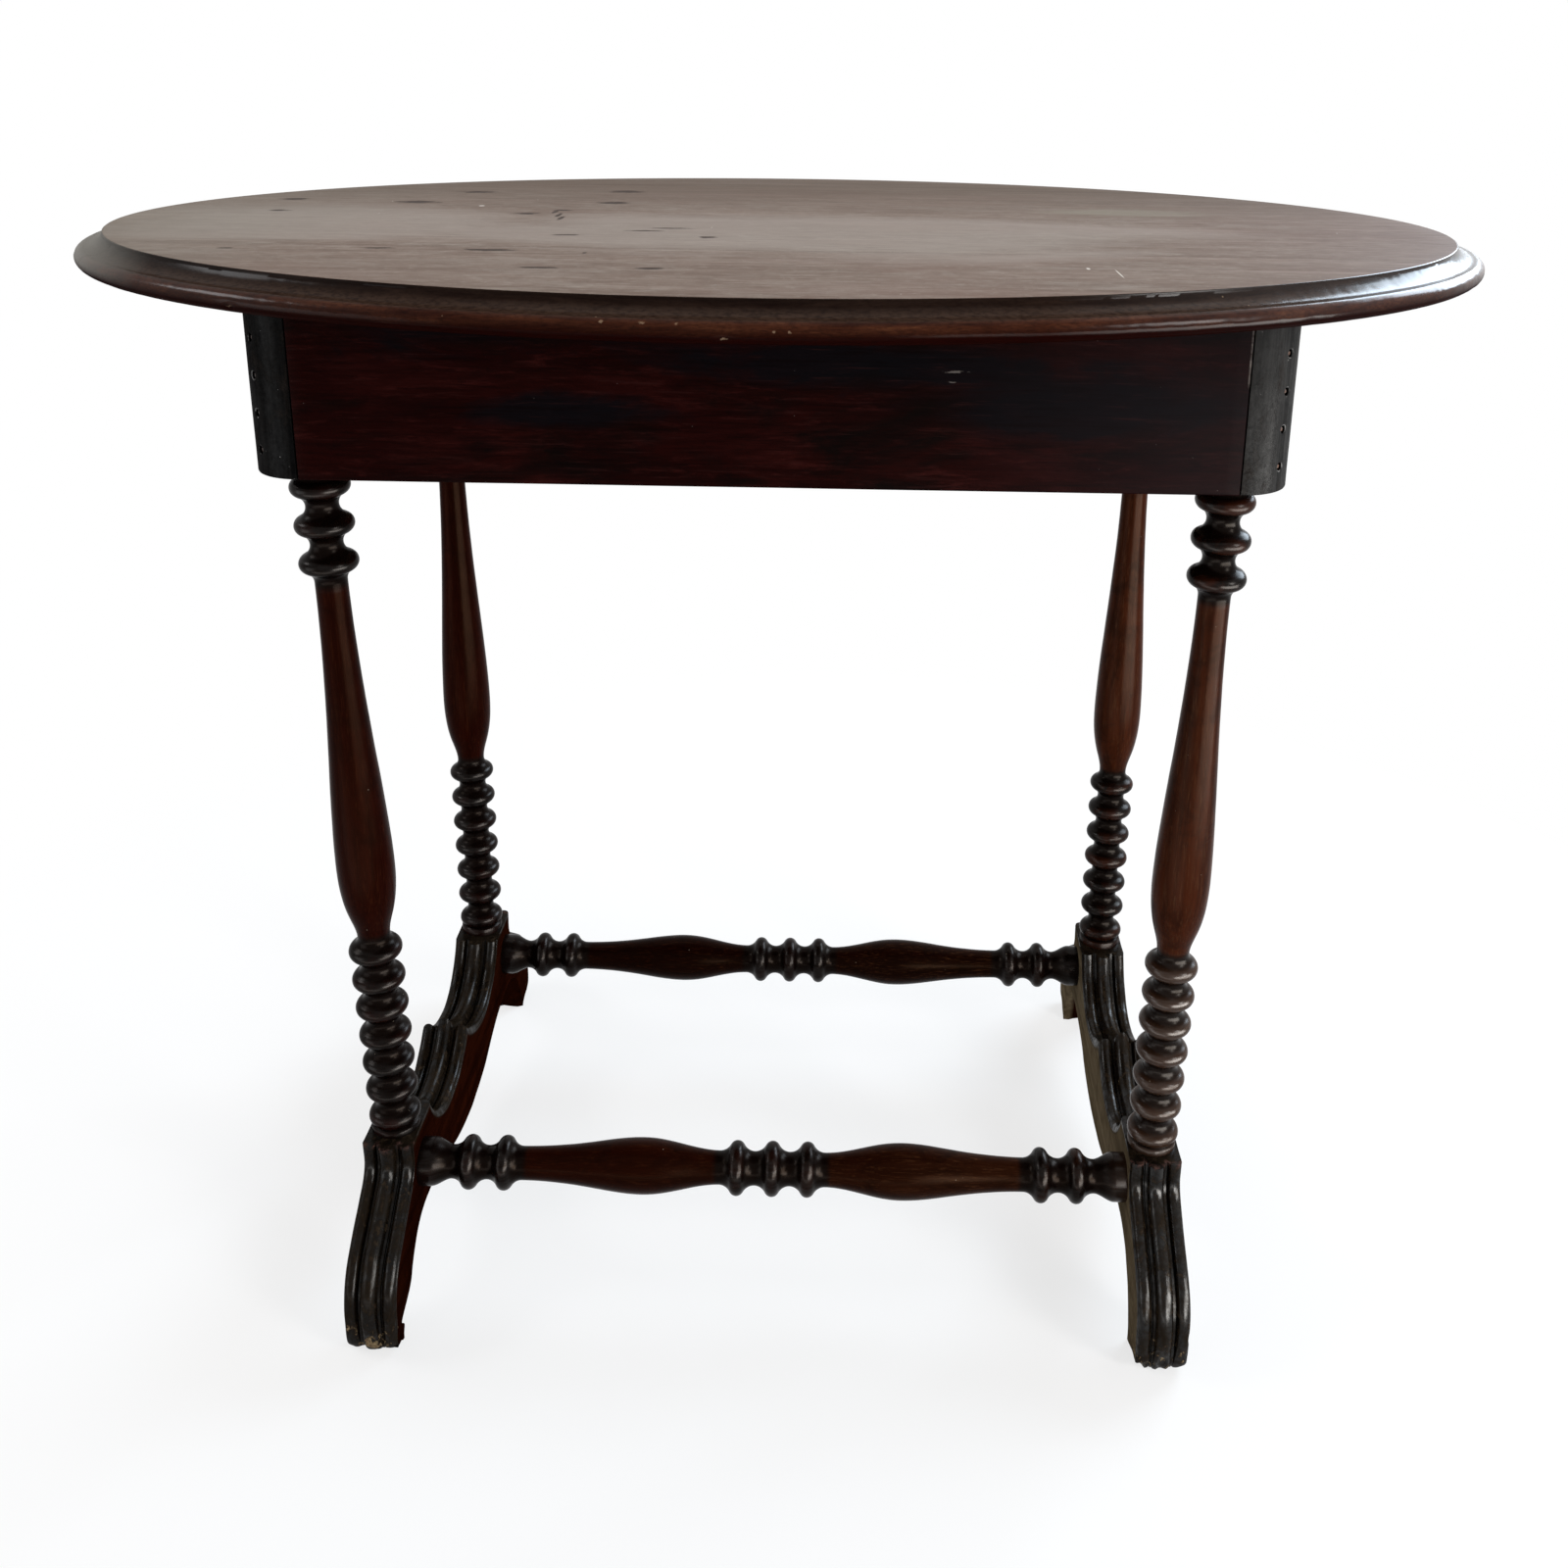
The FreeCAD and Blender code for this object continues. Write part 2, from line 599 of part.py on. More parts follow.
def foot_runs(rise, above, below):
    """The front of a foot from its seat to the floor, raised off the wood and run on at both ends."""
    hollow = upright(SEAT_FRONT + FOOT_HOLLOW_RADIUS, SEAT_HEIGHT - FOOT_DROP)
    bend = 90.0 - FOOT_SLOPE
    slope_start = polar(hollow, FOOT_HOLLOW_RADIUS, 180.0 + bend)
    slope = math.radians(FOOT_SLOPE)
    forward = upright(math.cos(slope), -math.sin(slope))
    square = upright(math.sin(slope), math.cos(slope))
    round_y = TOE_Y - FOOT_ROUND_RADIUS
    slope_length = (round_y + FOOT_ROUND_RADIUS * square.y - slope_start.y) / forward.y
    round_centre = slope_start + forward * slope_length - square * FOOT_ROUND_RADIUS
    fall_top = upright(SEAT_FRONT + rise, SEAT_HEIGHT + above)
    fall_foot = upright(SEAT_FRONT + rise, SEAT_HEIGHT - FOOT_DROP)
    hollow_run = Run(fall_foot, centre=hollow, degrees=bend)
    round_start = round_centre + square * (FOOT_ROUND_RADIUS + rise)
    round_run = Run(round_start, centre=round_centre, degrees=-(bend + TOE_TUCK))
    tuck = math.radians(TOE_TUCK)
    toe_length = (round_run.stop.z + below) / math.cos(tuck)
    toe_end = round_run.stop - upright(math.sin(tuck), math.cos(tuck)) * toe_length
    return [
        Run(fall_top, fall_foot),
        hollow_run,
        Run(hollow_run.stop, round_start),
        round_run,
        Run(round_run.stop, toe_end),
    ]


def hollow_radius(reach, climb):
    """Radius of an arc that is level at its foot and climbs so far over a reach."""
    return (reach**2 + climb**2) / (2 * climb)


def hollow_angle(reach, climb):
    """Degrees through which that arc turns."""
    return math.degrees(math.atan2(reach, hollow_radius(reach, climb) - climb))


def scallop_runs(rise, beyond):
    """The hollow between the crest and a seat, as two arcs that meet level in the valley."""
    to_crest = (VALLEY_Y, CREST_HEIGHT - VALLEY_HEIGHT)
    to_seat = (SEAT_BACK - VALLEY_Y, SEAT_HEIGHT - VALLEY_HEIGHT)
    crest_radius = hollow_radius(*to_crest)
    crest_angle = hollow_angle(*to_crest) + beyond
    crest_centre = upright(VALLEY_Y, VALLEY_HEIGHT + crest_radius)
    seat_centre = upright(VALLEY_Y, VALLEY_HEIGHT + hollow_radius(*to_seat))
    crest = polar(crest_centre, crest_radius - rise, 270.0 - crest_angle)
    valley = upright(VALLEY_Y, VALLEY_HEIGHT + rise)
    return [
        Run(crest, centre=crest_centre, degrees=crest_angle),
        Run(valley, centre=seat_centre, degrees=hollow_angle(*to_seat) + beyond),
    ]


def underside_edges():
    """From the heel on the floor over the arch and down in an S to the middle of the trestle."""
    heel = upright(HEEL_Y, 0)
    arch = upright(LEG_FOOT_Y, ARCH_HEIGHT)
    heel_radius = hollow_radius(HEEL_REACH, ARCH_HEIGHT)
    middle = upright(0, DROP_HEIGHT)
    turning = (arch + middle) * 0.5
    sweep_radius = hollow_radius(LEG_FOOT_Y / 2, (ARCH_HEIGHT - DROP_HEIGHT) / 2)
    return [
        arc_about(arch - upright(0, heel_radius), heel, arch),
        arc_about(arch - upright(0, sweep_radius), arch, turning),
        arc_about(middle + upright(0, sweep_radius), turning, middle),
    ]


def half_trestle():
    """The rear half of a trestle, from the crest to the toe, with its reeds."""
    foot = foot_runs(0.0, 0.0, 0.0)
    scallop = scallop_runs(0.0, 0.0)
    edges = [run.edge() for run in scallop + foot] + underside_edges()
    edges.append(Part.makeLine(scallop[-1].stop, foot[0].start))
    edges.append(Part.makeLine(foot[-1].stop, upright(HEEL_Y, 0)))
    edges.append(Part.makeLine(upright(0, DROP_HEIGHT), scallop[0].start))
    outline = Part.Face(Part.Wire(Part.sortEdges(edges)[0]))
    outline.translate(V(-TRESTLE_THICKNESS / 2, 0, 0))
    blank = outline.extrude(V(TRESTLE_THICKNESS, 0, 0))
    side_x = TRESTLE_THICKNESS / 2 - SIDE_REED_INSET - SIDE_REED_RADIUS
    reeds = (
        (-side_x, SIDE_REED_RADIUS, 0.0),
        (0.0, CENTRE_REED_RADIUS, CENTRE_REED_RAISE),
        (side_x, SIDE_REED_RADIUS, 0.0),
    )
    bars = []
    for x, radius, rise in reeds:
        runs = foot_runs(rise, REED_OVERRUN, REED_OVERRUN)
        runs += scallop_runs(rise, REED_OVERRUN_ANGLE)
        bars += [run.reed(radius, x) for run in runs]
    within = box((-TRESTLE_THICKNESS, TRESTLE_THICKNESS), (0, TOP_DEPTH), (0, SEAT_HEIGHT))
    return blank.fuse([bar.common(within) for bar in bars])


def trestle(end):
    half = half_trestle()
    whole = solid_of(half.fuse(half.mirror(V(0, 0, 0), AXIS_Y)))
    whole.translate(V(end * LEG_FOOT_X, 0, 0))
    holes = []
    for _, side in SIDES:
        holes.append(leg_mortise(end, side, 0.0, LEG_FOOT_TENON))
        holes.append(stretcher_mortise(end, side))
    return whole.cut(holes).Solids[0]


def save_base():
    for end_name, end in ENDS:
        save("trestle_" + end_name, trestle(end))
        for side_name, side in SIDES:
            save("leg_" + side_name + "_" + end_name, leg(end, side))
    for side_name, side in SIDES:
        save("stretcher_" + side_name, stretcher(side))


os.makedirs("parts", exist_ok=True)
save_top()
save_apron()
save_base()
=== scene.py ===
"""Oval tavern table, dressed over its frame. +Z is up and the front is -Y; sizes are in millimetres
until a piece's mesh is made, which is in metres."""

import math
from functools import partial

import bmesh
import bpy
import numpy as np
from mathutils import Matrix, Vector


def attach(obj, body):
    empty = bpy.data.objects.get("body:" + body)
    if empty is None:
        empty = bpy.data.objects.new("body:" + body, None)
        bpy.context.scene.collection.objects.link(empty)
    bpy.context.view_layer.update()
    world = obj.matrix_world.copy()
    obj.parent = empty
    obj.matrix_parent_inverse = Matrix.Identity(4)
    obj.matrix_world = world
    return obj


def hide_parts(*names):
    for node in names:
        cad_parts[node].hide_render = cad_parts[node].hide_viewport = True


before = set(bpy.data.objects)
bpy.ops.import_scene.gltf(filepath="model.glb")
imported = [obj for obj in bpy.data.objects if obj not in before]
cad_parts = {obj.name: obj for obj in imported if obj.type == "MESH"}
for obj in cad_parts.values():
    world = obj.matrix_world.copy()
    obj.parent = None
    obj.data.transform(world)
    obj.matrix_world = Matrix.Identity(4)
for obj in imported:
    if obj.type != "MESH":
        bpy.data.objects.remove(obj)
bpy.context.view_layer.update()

MM = 0.001
ENDS = (("left", -1), ("right", 1))
SIDES = (("front", -1), ("rear", 1))

# Top
TABLE_HEIGHT = 735.0
TOP_UNDERSIDE = 715.5
ARRIS_HALF_LENGTH = 428.5
ARRIS_HALF_DEPTH = 324.0
EDGE_WIDTH = 16.5
QUIRK_DEPTH = 1.8
BEAD_RADIUS = 5.6
BEAD_LOW_ANGLE = 75.0
BOARD_JOINT = 154.0
JOINT_GAP = 0.25
TOP_SHARP_ANGLE = 32.0

# Apron
APRON_BOTTOM = 603.5
APRON_FRONT = 184.0
APRON_END = 304.0
APRON_THICKNESS = 18.0
CORNER_RADIUS = 33.0
SEAM_GAP = 0.7
SEAM_X = APRON_END - CORNER_RADIUS - SEAM_GAP / 2
SEAM_Y = APRON_FRONT - CORNER_RADIUS - SEAM_GAP / 2
BOARD_EASE = 0.8
CORNER_EASE = 0.7
APRON_SHARP_ANGLE = 40.0
NAIL_ANGLE = 44.0
NAIL_HEIGHTS = (618.5, 640.5, 662.5, 684.5)
NAIL_PIT_DEPTH = 1.9

# Legs
LEG_FOOT = (264.6, 128.2, 118.4)
LEG_HEAD = (272.0, 147.0, 603.5)
RING_NOSE_RADIUS = 5.4
LEG_COLLAR_RADIUS = 16.5
LEG_COLLAR_HEIGHT = 4.5
LEG_COLLAR_EASE = 0.4
LEG_QUIRK_RADIUS = 14.0
SHOULDER_SPARE = 2.0
LOWER_RINGS = 7
LOWER_SHAPE = (22.3, 17.5, 10.6)  # pitch, ring radius, neck radius
LOWER_RING_MARGIN = 11.0
UPPER_RINGS = 3
UPPER_SHAPE = (24.6, 18.0, 9.9)
UPPER_RING_MARGIN = 13.5
VASE_RADIUS = 18.5
VASE_SHOULDER = (14.6, 18.0)  # radius, rise from the foot of the vase
VASE_BELLY_RISE = 62.0
VASE_NECK = (10.7, 45.0)  # radius, drop from the head of the vase
TURNING_FACETS = 72
TURNING_WOBBLE = 0.3
TURNING_SHARP_ANGLE = 42.0

# Stretchers
STRETCHER_Y = 131.0
STRETCHER_Z = 89.6
STRETCHER_REACH = 247.1
STRETCHER_SHAPE = (24.8, 18.4, 11.3)
STRETCHER_END_RINGS = 2
STRETCHER_END_MARGIN = 34.0
STRETCHER_VASE_RISE = 45.0
STRETCHER_BELL_RADIUS = 16.5
STRETCHER_BELL_LENGTH = 7.5

# Trestle feet
TRESTLE_X = 264.6
TRESTLE_HALF = 17.5
SEAT_HEIGHT = 118.4
SEAT_BACK = 106.7
SEAT_FRONT = 149.7
SEAT_MIDDLE = 128.2
CREST_HEIGHT = 104.0
VALLEY_HEIGHT = 83.0
VALLEY_Y = 53.35
FOOT_DROP = 12.0
FOOT_HOLLOW_RADIUS = 20.0
FOOT_SLOPE = 35.0
FOOT_ROUND_RADIUS = 45.0
TOE_Y = 212.0
TOE_TUCK = 4.0
HEEL_Y = 182.0
ARCH_HEIGHT = 56.0
DROP_HEIGHT = 34.0
SIDE_REED_X = 12.65
SIDE_REED_HALF = 4.5
SIDE_REED_HEIGHT = 4.0
FILLET_X = 7.3
CENTRE_REED_HALF = 5.7
CENTRE_REED_HEIGHT = 6.2
CENTRE_REED_RAISE = 1.8
TRESTLE_SHARP_ANGLE = 38.0


# Making and placing pieces


def lumps(points, size, seed):
    """Smooth random values from -1 to 1 over the points, in lumps of about the given size."""
    cell = np.asarray(points, float) / size
    base = np.floor(cell).astype(np.int64)
    part = cell - base
    part = part * part * (3 - 2 * part)
    total = np.zeros(cell.shape[:-1])
    for corner in np.ndindex(2, 2, 2):
        key = base + np.array(corner)
        mixed = key[..., 0] * 73856093 ^ key[..., 1] * 19349663 ^ key[..., 2] * 83492791
        mixed = (mixed ^ seed * 7919) & 0x7FFFFFFF
        mixed = ((mixed ^ mixed >> 13) * 1274126177) & 0x7FFFFFFF
        value = (mixed ^ mixed >> 16) % 4096 / 2047.5 - 1
        weight = np.prod(np.where(np.array(corner) == 1, part, 1 - part), axis=-1)
        total += value * weight
    return total


def step_up(value, low, high):
    """0 below low, 1 above high, and smooth between them."""
    part = np.clip((np.asarray(value, float) - low) / (high - low), 0, 1)
    return part * part * (3 - 2 * part)


def finish_mesh(mesh, sharp_angle):
    """Doubles merged, faces outward, smooth shading that breaks at the sharp edges."""
    work = bmesh.new()
    work.from_mesh(mesh)
    bmesh.ops.remove_doubles(work, verts=work.verts, dist=1e-6)
    bmesh.ops.recalc_face_normals(work, faces=work.faces)
    work.to_mesh(mesh)
    work.free()
    mesh.shade_smooth()
    mesh.set_sharp_from_angle(angle=math.radians(sharp_angle))


def piece_of(name, mesh, finishes):
    """A piece with the finishes that its mesh doesn't have yet."""
    for finish in finishes[len(mesh.materials) :]:
        mesh.materials.append(finish)
    piece = bpy.data.objects.new(name, mesh)
    bpy.context.scene.collection.objects.link(piece)
    return piece


def seat(piece, slot, *nodes):
    """The piece stands for the named nodes of the frame, which are hidden; the slot is not used."""
    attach(piece, "root")
    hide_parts(*nodes)


def skinned(name, rings, sharp_angle, bands=None, **marks):
    """A closed mesh skinned over rings of points (ring, point, xyz) and capped at both ends.

    Each mark is a number per point that the finish reads, such as how deep a hollow is. Bands give
    the number of the finish from each ring to the next, with the two caps before and after."""
    count, around = rings.shape[:2]
    index = np.arange(count * around).reshape(count, around)
    beside = np.roll(index, -1, axis=1)
    quads = np.stack([index[:-1], beside[:-1], beside[1:], index[1:]], axis=-1)
    faces = [index[0][::-1].tolist()] + quads.reshape(-1, 4).tolist() + [index[-1].tolist()]
    mesh = bpy.data.meshes.new(name)
    mesh.from_pydata((rings.reshape(-1, 3) * MM).tolist(), [], faces)
    for mark, values in marks.items():
        layer = mesh.attributes.new(mark, "FLOAT", "POINT")
        layer.data.foreach_set("value", np.broadcast_to(values, (count, around)).ravel())
    if bands is not None:
        numbers = np.concatenate([bands[:1], np.repeat(bands[1:-1], around), bands[-1:]])
        mesh.polygons.foreach_set("material_index", numbers.astype(np.int32))
    finish_mesh(mesh, sharp_angle)
    return mesh


# Finishes


def shade(colour, share, lift=0.0):
    """The colour times a share, lifted by so much."""
    return tuple(share * c + lift for c in colour)


def along(axis, fine, coarse):
    """A scale whose pattern runs along the given axis."""
    return tuple(coarse if letter == axis else fine for letter in "xyz")


def add_node(tree, kind, sockets=None, **settings):
    """A node with its settings, each socket linked to another node's or set to a value."""
    node = tree.nodes.new(kind)
    for key, value in settings.items():
        setattr(node, key, value)
    for key, value in (sockets or {}).items():
        if isinstance(value, bpy.types.NodeSocket):
            tree.links.new(value, node.inputs[key])
        else:
            node.inputs[key].default_value = value
    return node


class Finish:
    """One finish as shader nodes on the piece's own coordinates."""

    def __init__(self, name, specular, coat=0.0, coat_roughness=0.2, warmth=(1, 1, 1)):
        self.material = bpy.data.materials.new(name)
        self.material.use_nodes = True
        self.tree = self.material.node_tree
        self.shader = self.tree.nodes["Principled BSDF"]
        self.shader.inputs["Specular IOR Level"].default_value = specular
        self.shader.inputs["Specular Tint"].default_value = (*warmth, 1)
        self.shader.inputs["Coat Weight"].default_value = coat
        self.shader.inputs["Coat Roughness"].default_value = coat_roughness
        self.place = self.add("ShaderNodeTexCoord").outputs["Object"]

    def add(self, kind, sockets=None, **settings):
        return add_node(self.tree, kind, sockets, **settings)

    def mark(self, name):
        """A number that the piece's mesh carries."""
        return self.add("ShaderNodeAttribute", attribute_name=name).outputs["Fac"]

    def axis(self, letter):
        """Metres along X or Y from the table's middle, or along Z from the floor."""
        return self.add("ShaderNodeSeparateXYZ", {"Vector": self.place}).outputs[letter]

    def stretched(self, scale, turn=0.0):
        sockets = {"Vector": self.place, "Scale": scale, "Rotation": (0, 0, math.radians(turn))}
        return self.add("ShaderNodeMapping", sockets).outputs["Vector"]

    def cloud(self, scale, detail=4.0, roughness=0.55, distortion=0.0, turn=0.0, lot=0.0):
        """Noise with so many lumps to the metre along each axis; each lot is another pattern."""
        sockets = {"Vector": self.stretched(scale, turn), "W": lot, "Scale": 1.0, "Detail": detail}
        sockets.update({"Roughness": roughness, "Distortion": distortion})
        return self.add("ShaderNodeTexNoise", sockets, noise_dimensions="4D").outputs["Fac"]

    def specks(self, scale, size, share):
        """Small specks: so many cells to the metre, of which about a share holds one."""
        sockets = {"Vector": self.stretched((scale, scale, scale)), "Scale": 1.0}
        node = self.add("ShaderNodeTexVoronoi", sockets)
        chance = self.add("ShaderNodeSeparateColor", {"Color": node.outputs["Color"]}).outputs[0]
        return self.times(
            self.between(node.outputs["Distance"], size, 0.6 * size),
            self.between(chance, 1 - share, 1.001 - share),
        )

    def spots(self, places, ragged=0.0):
        """1 inside ovals, each given by its middle and its half sizes in millimetres."""
        total = None
        for middle, half in places:
            sockets = {"Vector": self.place, "Location": [c * MM for c in middle]}
            sockets["Scale"] = [c * MM for c in half]
            near = self.add("ShaderNodeMapping", sockets, vector_type="TEXTURE").outputs["Vector"]
            reach = self.add("ShaderNodeVectorMath", {0: near}, operation="LENGTH").outputs["Value"]
            if ragged:
                reach = self.sum(reach, ragged)
            spot = self.between(reach, 1.0, 0.55)
            total = spot if total is None else self.most(total, spot)
        return total

    def between(self, value, low, high, bottom=0.0, top=1.0):
        """From bottom to top while the value goes from low to high, and level outside them."""
        sockets = {"Value": value, "From Min": low, "From Max": high}
        sockets.update({"To Min": bottom, "To Max": top})
        return self.add("ShaderNodeMapRange", sockets, clamp=True).outputs["Result"]

    def reckoned(self, operation, first, second):
        return self.add("ShaderNodeMath", {0: first, 1: second}, operation=operation).outputs[0]

    def sum(self, first, second):
        return self.reckoned("ADD", first, second)

    def times(self, first, second):
        return self.reckoned("MULTIPLY", first, second)

    def most(self, first, second):
        return self.reckoned("MAXIMUM", first, second)

    def both(self, first, share, second, other_share):
        """Two patterns added, each by its share."""
        return self.sum(self.times(first, share), self.times(second, other_share))

    def blend(self, share, under, over):
        """One colour over another, by a share from 0 to 1."""
        under, over = [c if isinstance(c, bpy.types.NodeSocket) else (*c, 1.0) for c in (under, over)]
        return self.add("ShaderNodeMix", {0: share, 6: under, 7: over}, data_type="RGBA").outputs[2]

    def touched(self, colour, where, share, tint):
        """A tint laid over the colour where a mask says, up to a share."""
        return self.blend(self.times(where, share), colour, tint)

    def layered(self, colour, *layers):
        """Tints laid over the colour, each as a pattern goes from low to high, up to a share."""
        for pattern, low, high, share, tint in layers:
            colour = self.blend(self.between(pattern, low, high, 0, share), colour, tint)
        return colour

    def raised(self, height, depth, normal=None):
        """The surface raised by a height of 0 to 1, times a depth in millimetres."""
        sockets = {"Height": height, "Strength": 1.0, "Distance": depth * MM}
        if normal:
            sockets["Normal"] = normal
        return self.add("ShaderNodeBump", sockets).outputs["Normal"]

    def polished(self, weight):
        """Polish that lies thicker in one place than in another."""
        self.tree.links.new(weight, self.shader.inputs["Coat Weight"])

    def done(self, colour, roughness, normal):
        self.tree.links.new(colour, self.shader.inputs["Base Color"])
        self.tree.links.new(roughness, self.shader.inputs["Roughness"])
        self.tree.links.new(normal, self.shader.inputs["Normal"])
        return self.material


EDGE_CHIPS = (  # place along the front edge, half width, depth, height on the bead
    (-67, 1.8, 0.5, 725),
    (-48, 2.4, 0.6, 725),
    (-32, 1.6, 0.5, 725),
    (-10, 3.2, 0.8, 718.5),
    (13, 1.6, 0.5, 722),
    (20, 1.4, 0.5, 722),
    (-264, 3.2, 1.3, 719),
)
TOP_DENTS = (  # place on the flat, half length, half width
    (-267, 86, 16, 10),
    (-358, 95, 11, 8),
    (-342, 19, 8, 5),
    (-242, 165, 15, 9),
    (-128, 99, 13, 9),
    (-131, 185, 14, 10),
    (-175, 20, 10, 7),
    (-147, -4, 1.8, 13),
    (-152, 15, 1.8, 13),
    (-158, 34, 1.8, 13),
    (-155, 44, 7, 5),
    (-127, -94, 11, 3.5),
    (-157, -168, 19, 5),
    (-67, -53, 16, 3),
    (-83, -68, 12, 3.5),
    (-41, -96, 6, 5),
    (-115, -235, 11, 3.5),
    (-57, -232, 9, 5),
    (-219, -167, 10, 3),
    (-302, -176, 5, 3),
    (-102, -175, 2, 3.5),
)
TOP_FLECKS = ((187, -226, 0.5, 18), (173, -209, 1.2, 4), (-216, 66, 2.5, 3))
TOP_PALE_PATCHES = ((20, -70, 290, 120), (-290, -40, 150, 110))
TOP_GREEN_PATCH = ((244, 80, 80, 30),)
FRONT_SMUDGES_AND_SHADOW = (  # black clouds on the front board, high on the left a painted shadow under the top: place, height, half length, half height
    (175, 654, 125, 26),
    (60, 676, 120, 18),
    (-165, 701, 105, 22),
    (-110, 645, 60, 12),
)
FRONT_KNOCKS = ((105, 673, 7, 0.7), (104, 667, 2, 0.4))
TOP_MARK_DEPTH = 1000.0  # marks go this far in, so that they hold on a face that isn't quite flat
FRONT_MARK_DEPTH = 90.0
EDGE_MARK_DEPTH = 80.0


def on_top(places):
    return [((x, y, TABLE_HEIGHT), (length, width, TOP_MARK_DEPTH)) for x, y, length, width in places]


def on_front(places):
    return [((x, -APRON_FRONT, z), (length, FRONT_MARK_DEPTH, height)) for x, z, length, height in places]


def dusty_flat():
    """The worn, dull flat of the top: rubbed grey-brown, ruddy on the right, bruised and scratched, with
    painted shade darkening the rear.
    """
    f = Finish("dusty_flat", specular=0.03)
    board = f.times(f.mark("board"), 7.3)
    streaks = f.cloud(along("x", 120, 5.5), 8, 0.7, 0.8, lot=board)
    figure = f.cloud(along("x", 20, 2.2), 5, 0.6, 1.4, lot=board)
    pores = f.cloud(along("x", 800, 28), 3, 0.6, lot=board)
    dashes = f.cloud((45, 240, 45), 5, 0.7, 0.5, lot=board)
    scuffed = f.cloud((140, 190, 140), 5, 0.72, 0.3, lot=board)
    mottle = f.cloud((34, 75, 30), 5, 0.68, 0.8)
    patches = f.cloud((9, 22, 10), 6, 0.66, 1.2)
    bloom = f.cloud((3.0, 8.0, 3), 5, 0.6, 0.8)
    colour = f.blend(f.between(streaks, 0.32, 0.68), (0.112, 0.076, 0.057), (0.215, 0.162, 0.132))
    colour = f.layered(
        colour,
        (figure, 0.42, 0.66, 0.6, (0.098, 0.062, 0.046)),
        (patches, 0.48, 0.66, 0.5, (0.245, 0.208, 0.178)),
        (dashes, 0.52, 0.66, 0.65, (0.098, 0.066, 0.05)),
        (dashes, 0.44, 0.32, 0.5, (0.25, 0.208, 0.176)),
        (mottle, 0.52, 0.66, 0.45, (0.1, 0.066, 0.05)),
        (mottle, 0.46, 0.34, 0.3, (0.27, 0.23, 0.195)),
        (bloom, 0.5, 0.66, 0.5, (0.15, 0.092, 0.072)),
        (scuffed, 0.54, 0.68, 0.5, (0.092, 0.062, 0.047)),
        (scuffed, 0.45, 0.33, 0.4, (0.27, 0.228, 0.192)),
    )
    ragged = f.between(bloom, 0.3, 0.7, 0.45, -0.45)
    colour = f.touched(colour, f.spots(on_top(TOP_PALE_PATCHES), ragged), 0.55, (0.265, 0.228, 0.198))
    colour = f.touched(colour, f.spots(on_top(TOP_GREEN_PATCH), ragged), 0.55, (0.225, 0.21, 0.16))
    across = f.axis("X")
    ruddy = f.blend(f.between(dashes, 0.36, 0.64), (0.172, 0.12, 0.1), (0.104, 0.068, 0.056))
    colour = f.layered(colour, (across, 0.22, 0.4, 0.7, ruddy))
    wiped = f.between(f.cloud((5, 150, 5), 3, 0.6, turn=-3), 0.59, 0.67)
    wiped = f.times(wiped, f.between(across, 0.13, 0.28, 0, 0.45))
    colour = f.blend(wiped, colour, (0.32, 0.24, 0.21))
    # Painted shade: the flat is darkened towards the rear, where less light falls.
    painted_rear_shade = f.blend(f.between(streaks, 0.34, 0.66), (0.06, 0.041, 0.029), (0.094, 0.065, 0.047))
    colour = f.layered(
        colour,
        (across, -0.25, -0.4, 0.45, (0.165, 0.15, 0.122)),
        (f.axis("Y"), 0.0, 0.24, 0.88, painted_rear_shade),
        (pores, 0.56, 0.72, 0.5, (0.06, 0.037, 0.027)),
    )
    ragged = f.between(f.cloud((110, 260, 110), 5, 0.66), 0.28, 0.72, -0.5, 0.5)
    dents = f.spots(on_top(TOP_DENTS), ragged)
    colour = f.touched(colour, dents, 0.95, (0.022, 0.0125, 0.009))
    scratch = f.between(f.cloud((5, 260, 5), 1, 0.5, turn=-17), 0.73, 0.76)
    colour = f.touched(colour, scratch, 0.3, (0.34, 0.29, 0.25))
    flecks = f.most(f.spots(on_top(TOP_FLECKS)), f.specks(70, 0.05, 0.05))
    colour = f.touched(colour, flecks, 0.85, (0.6, 0.56, 0.5))
    rough = f.between(patches, 0.3, 0.7, 0.5, 0.62)
    normal = f.raised(f.both(pores, 0.5, streaks, 0.5), 0.14)
    normal = f.raised(f.times(dents, -1.0), 0.4, normal)
    return f.done(colour, rough, normal)


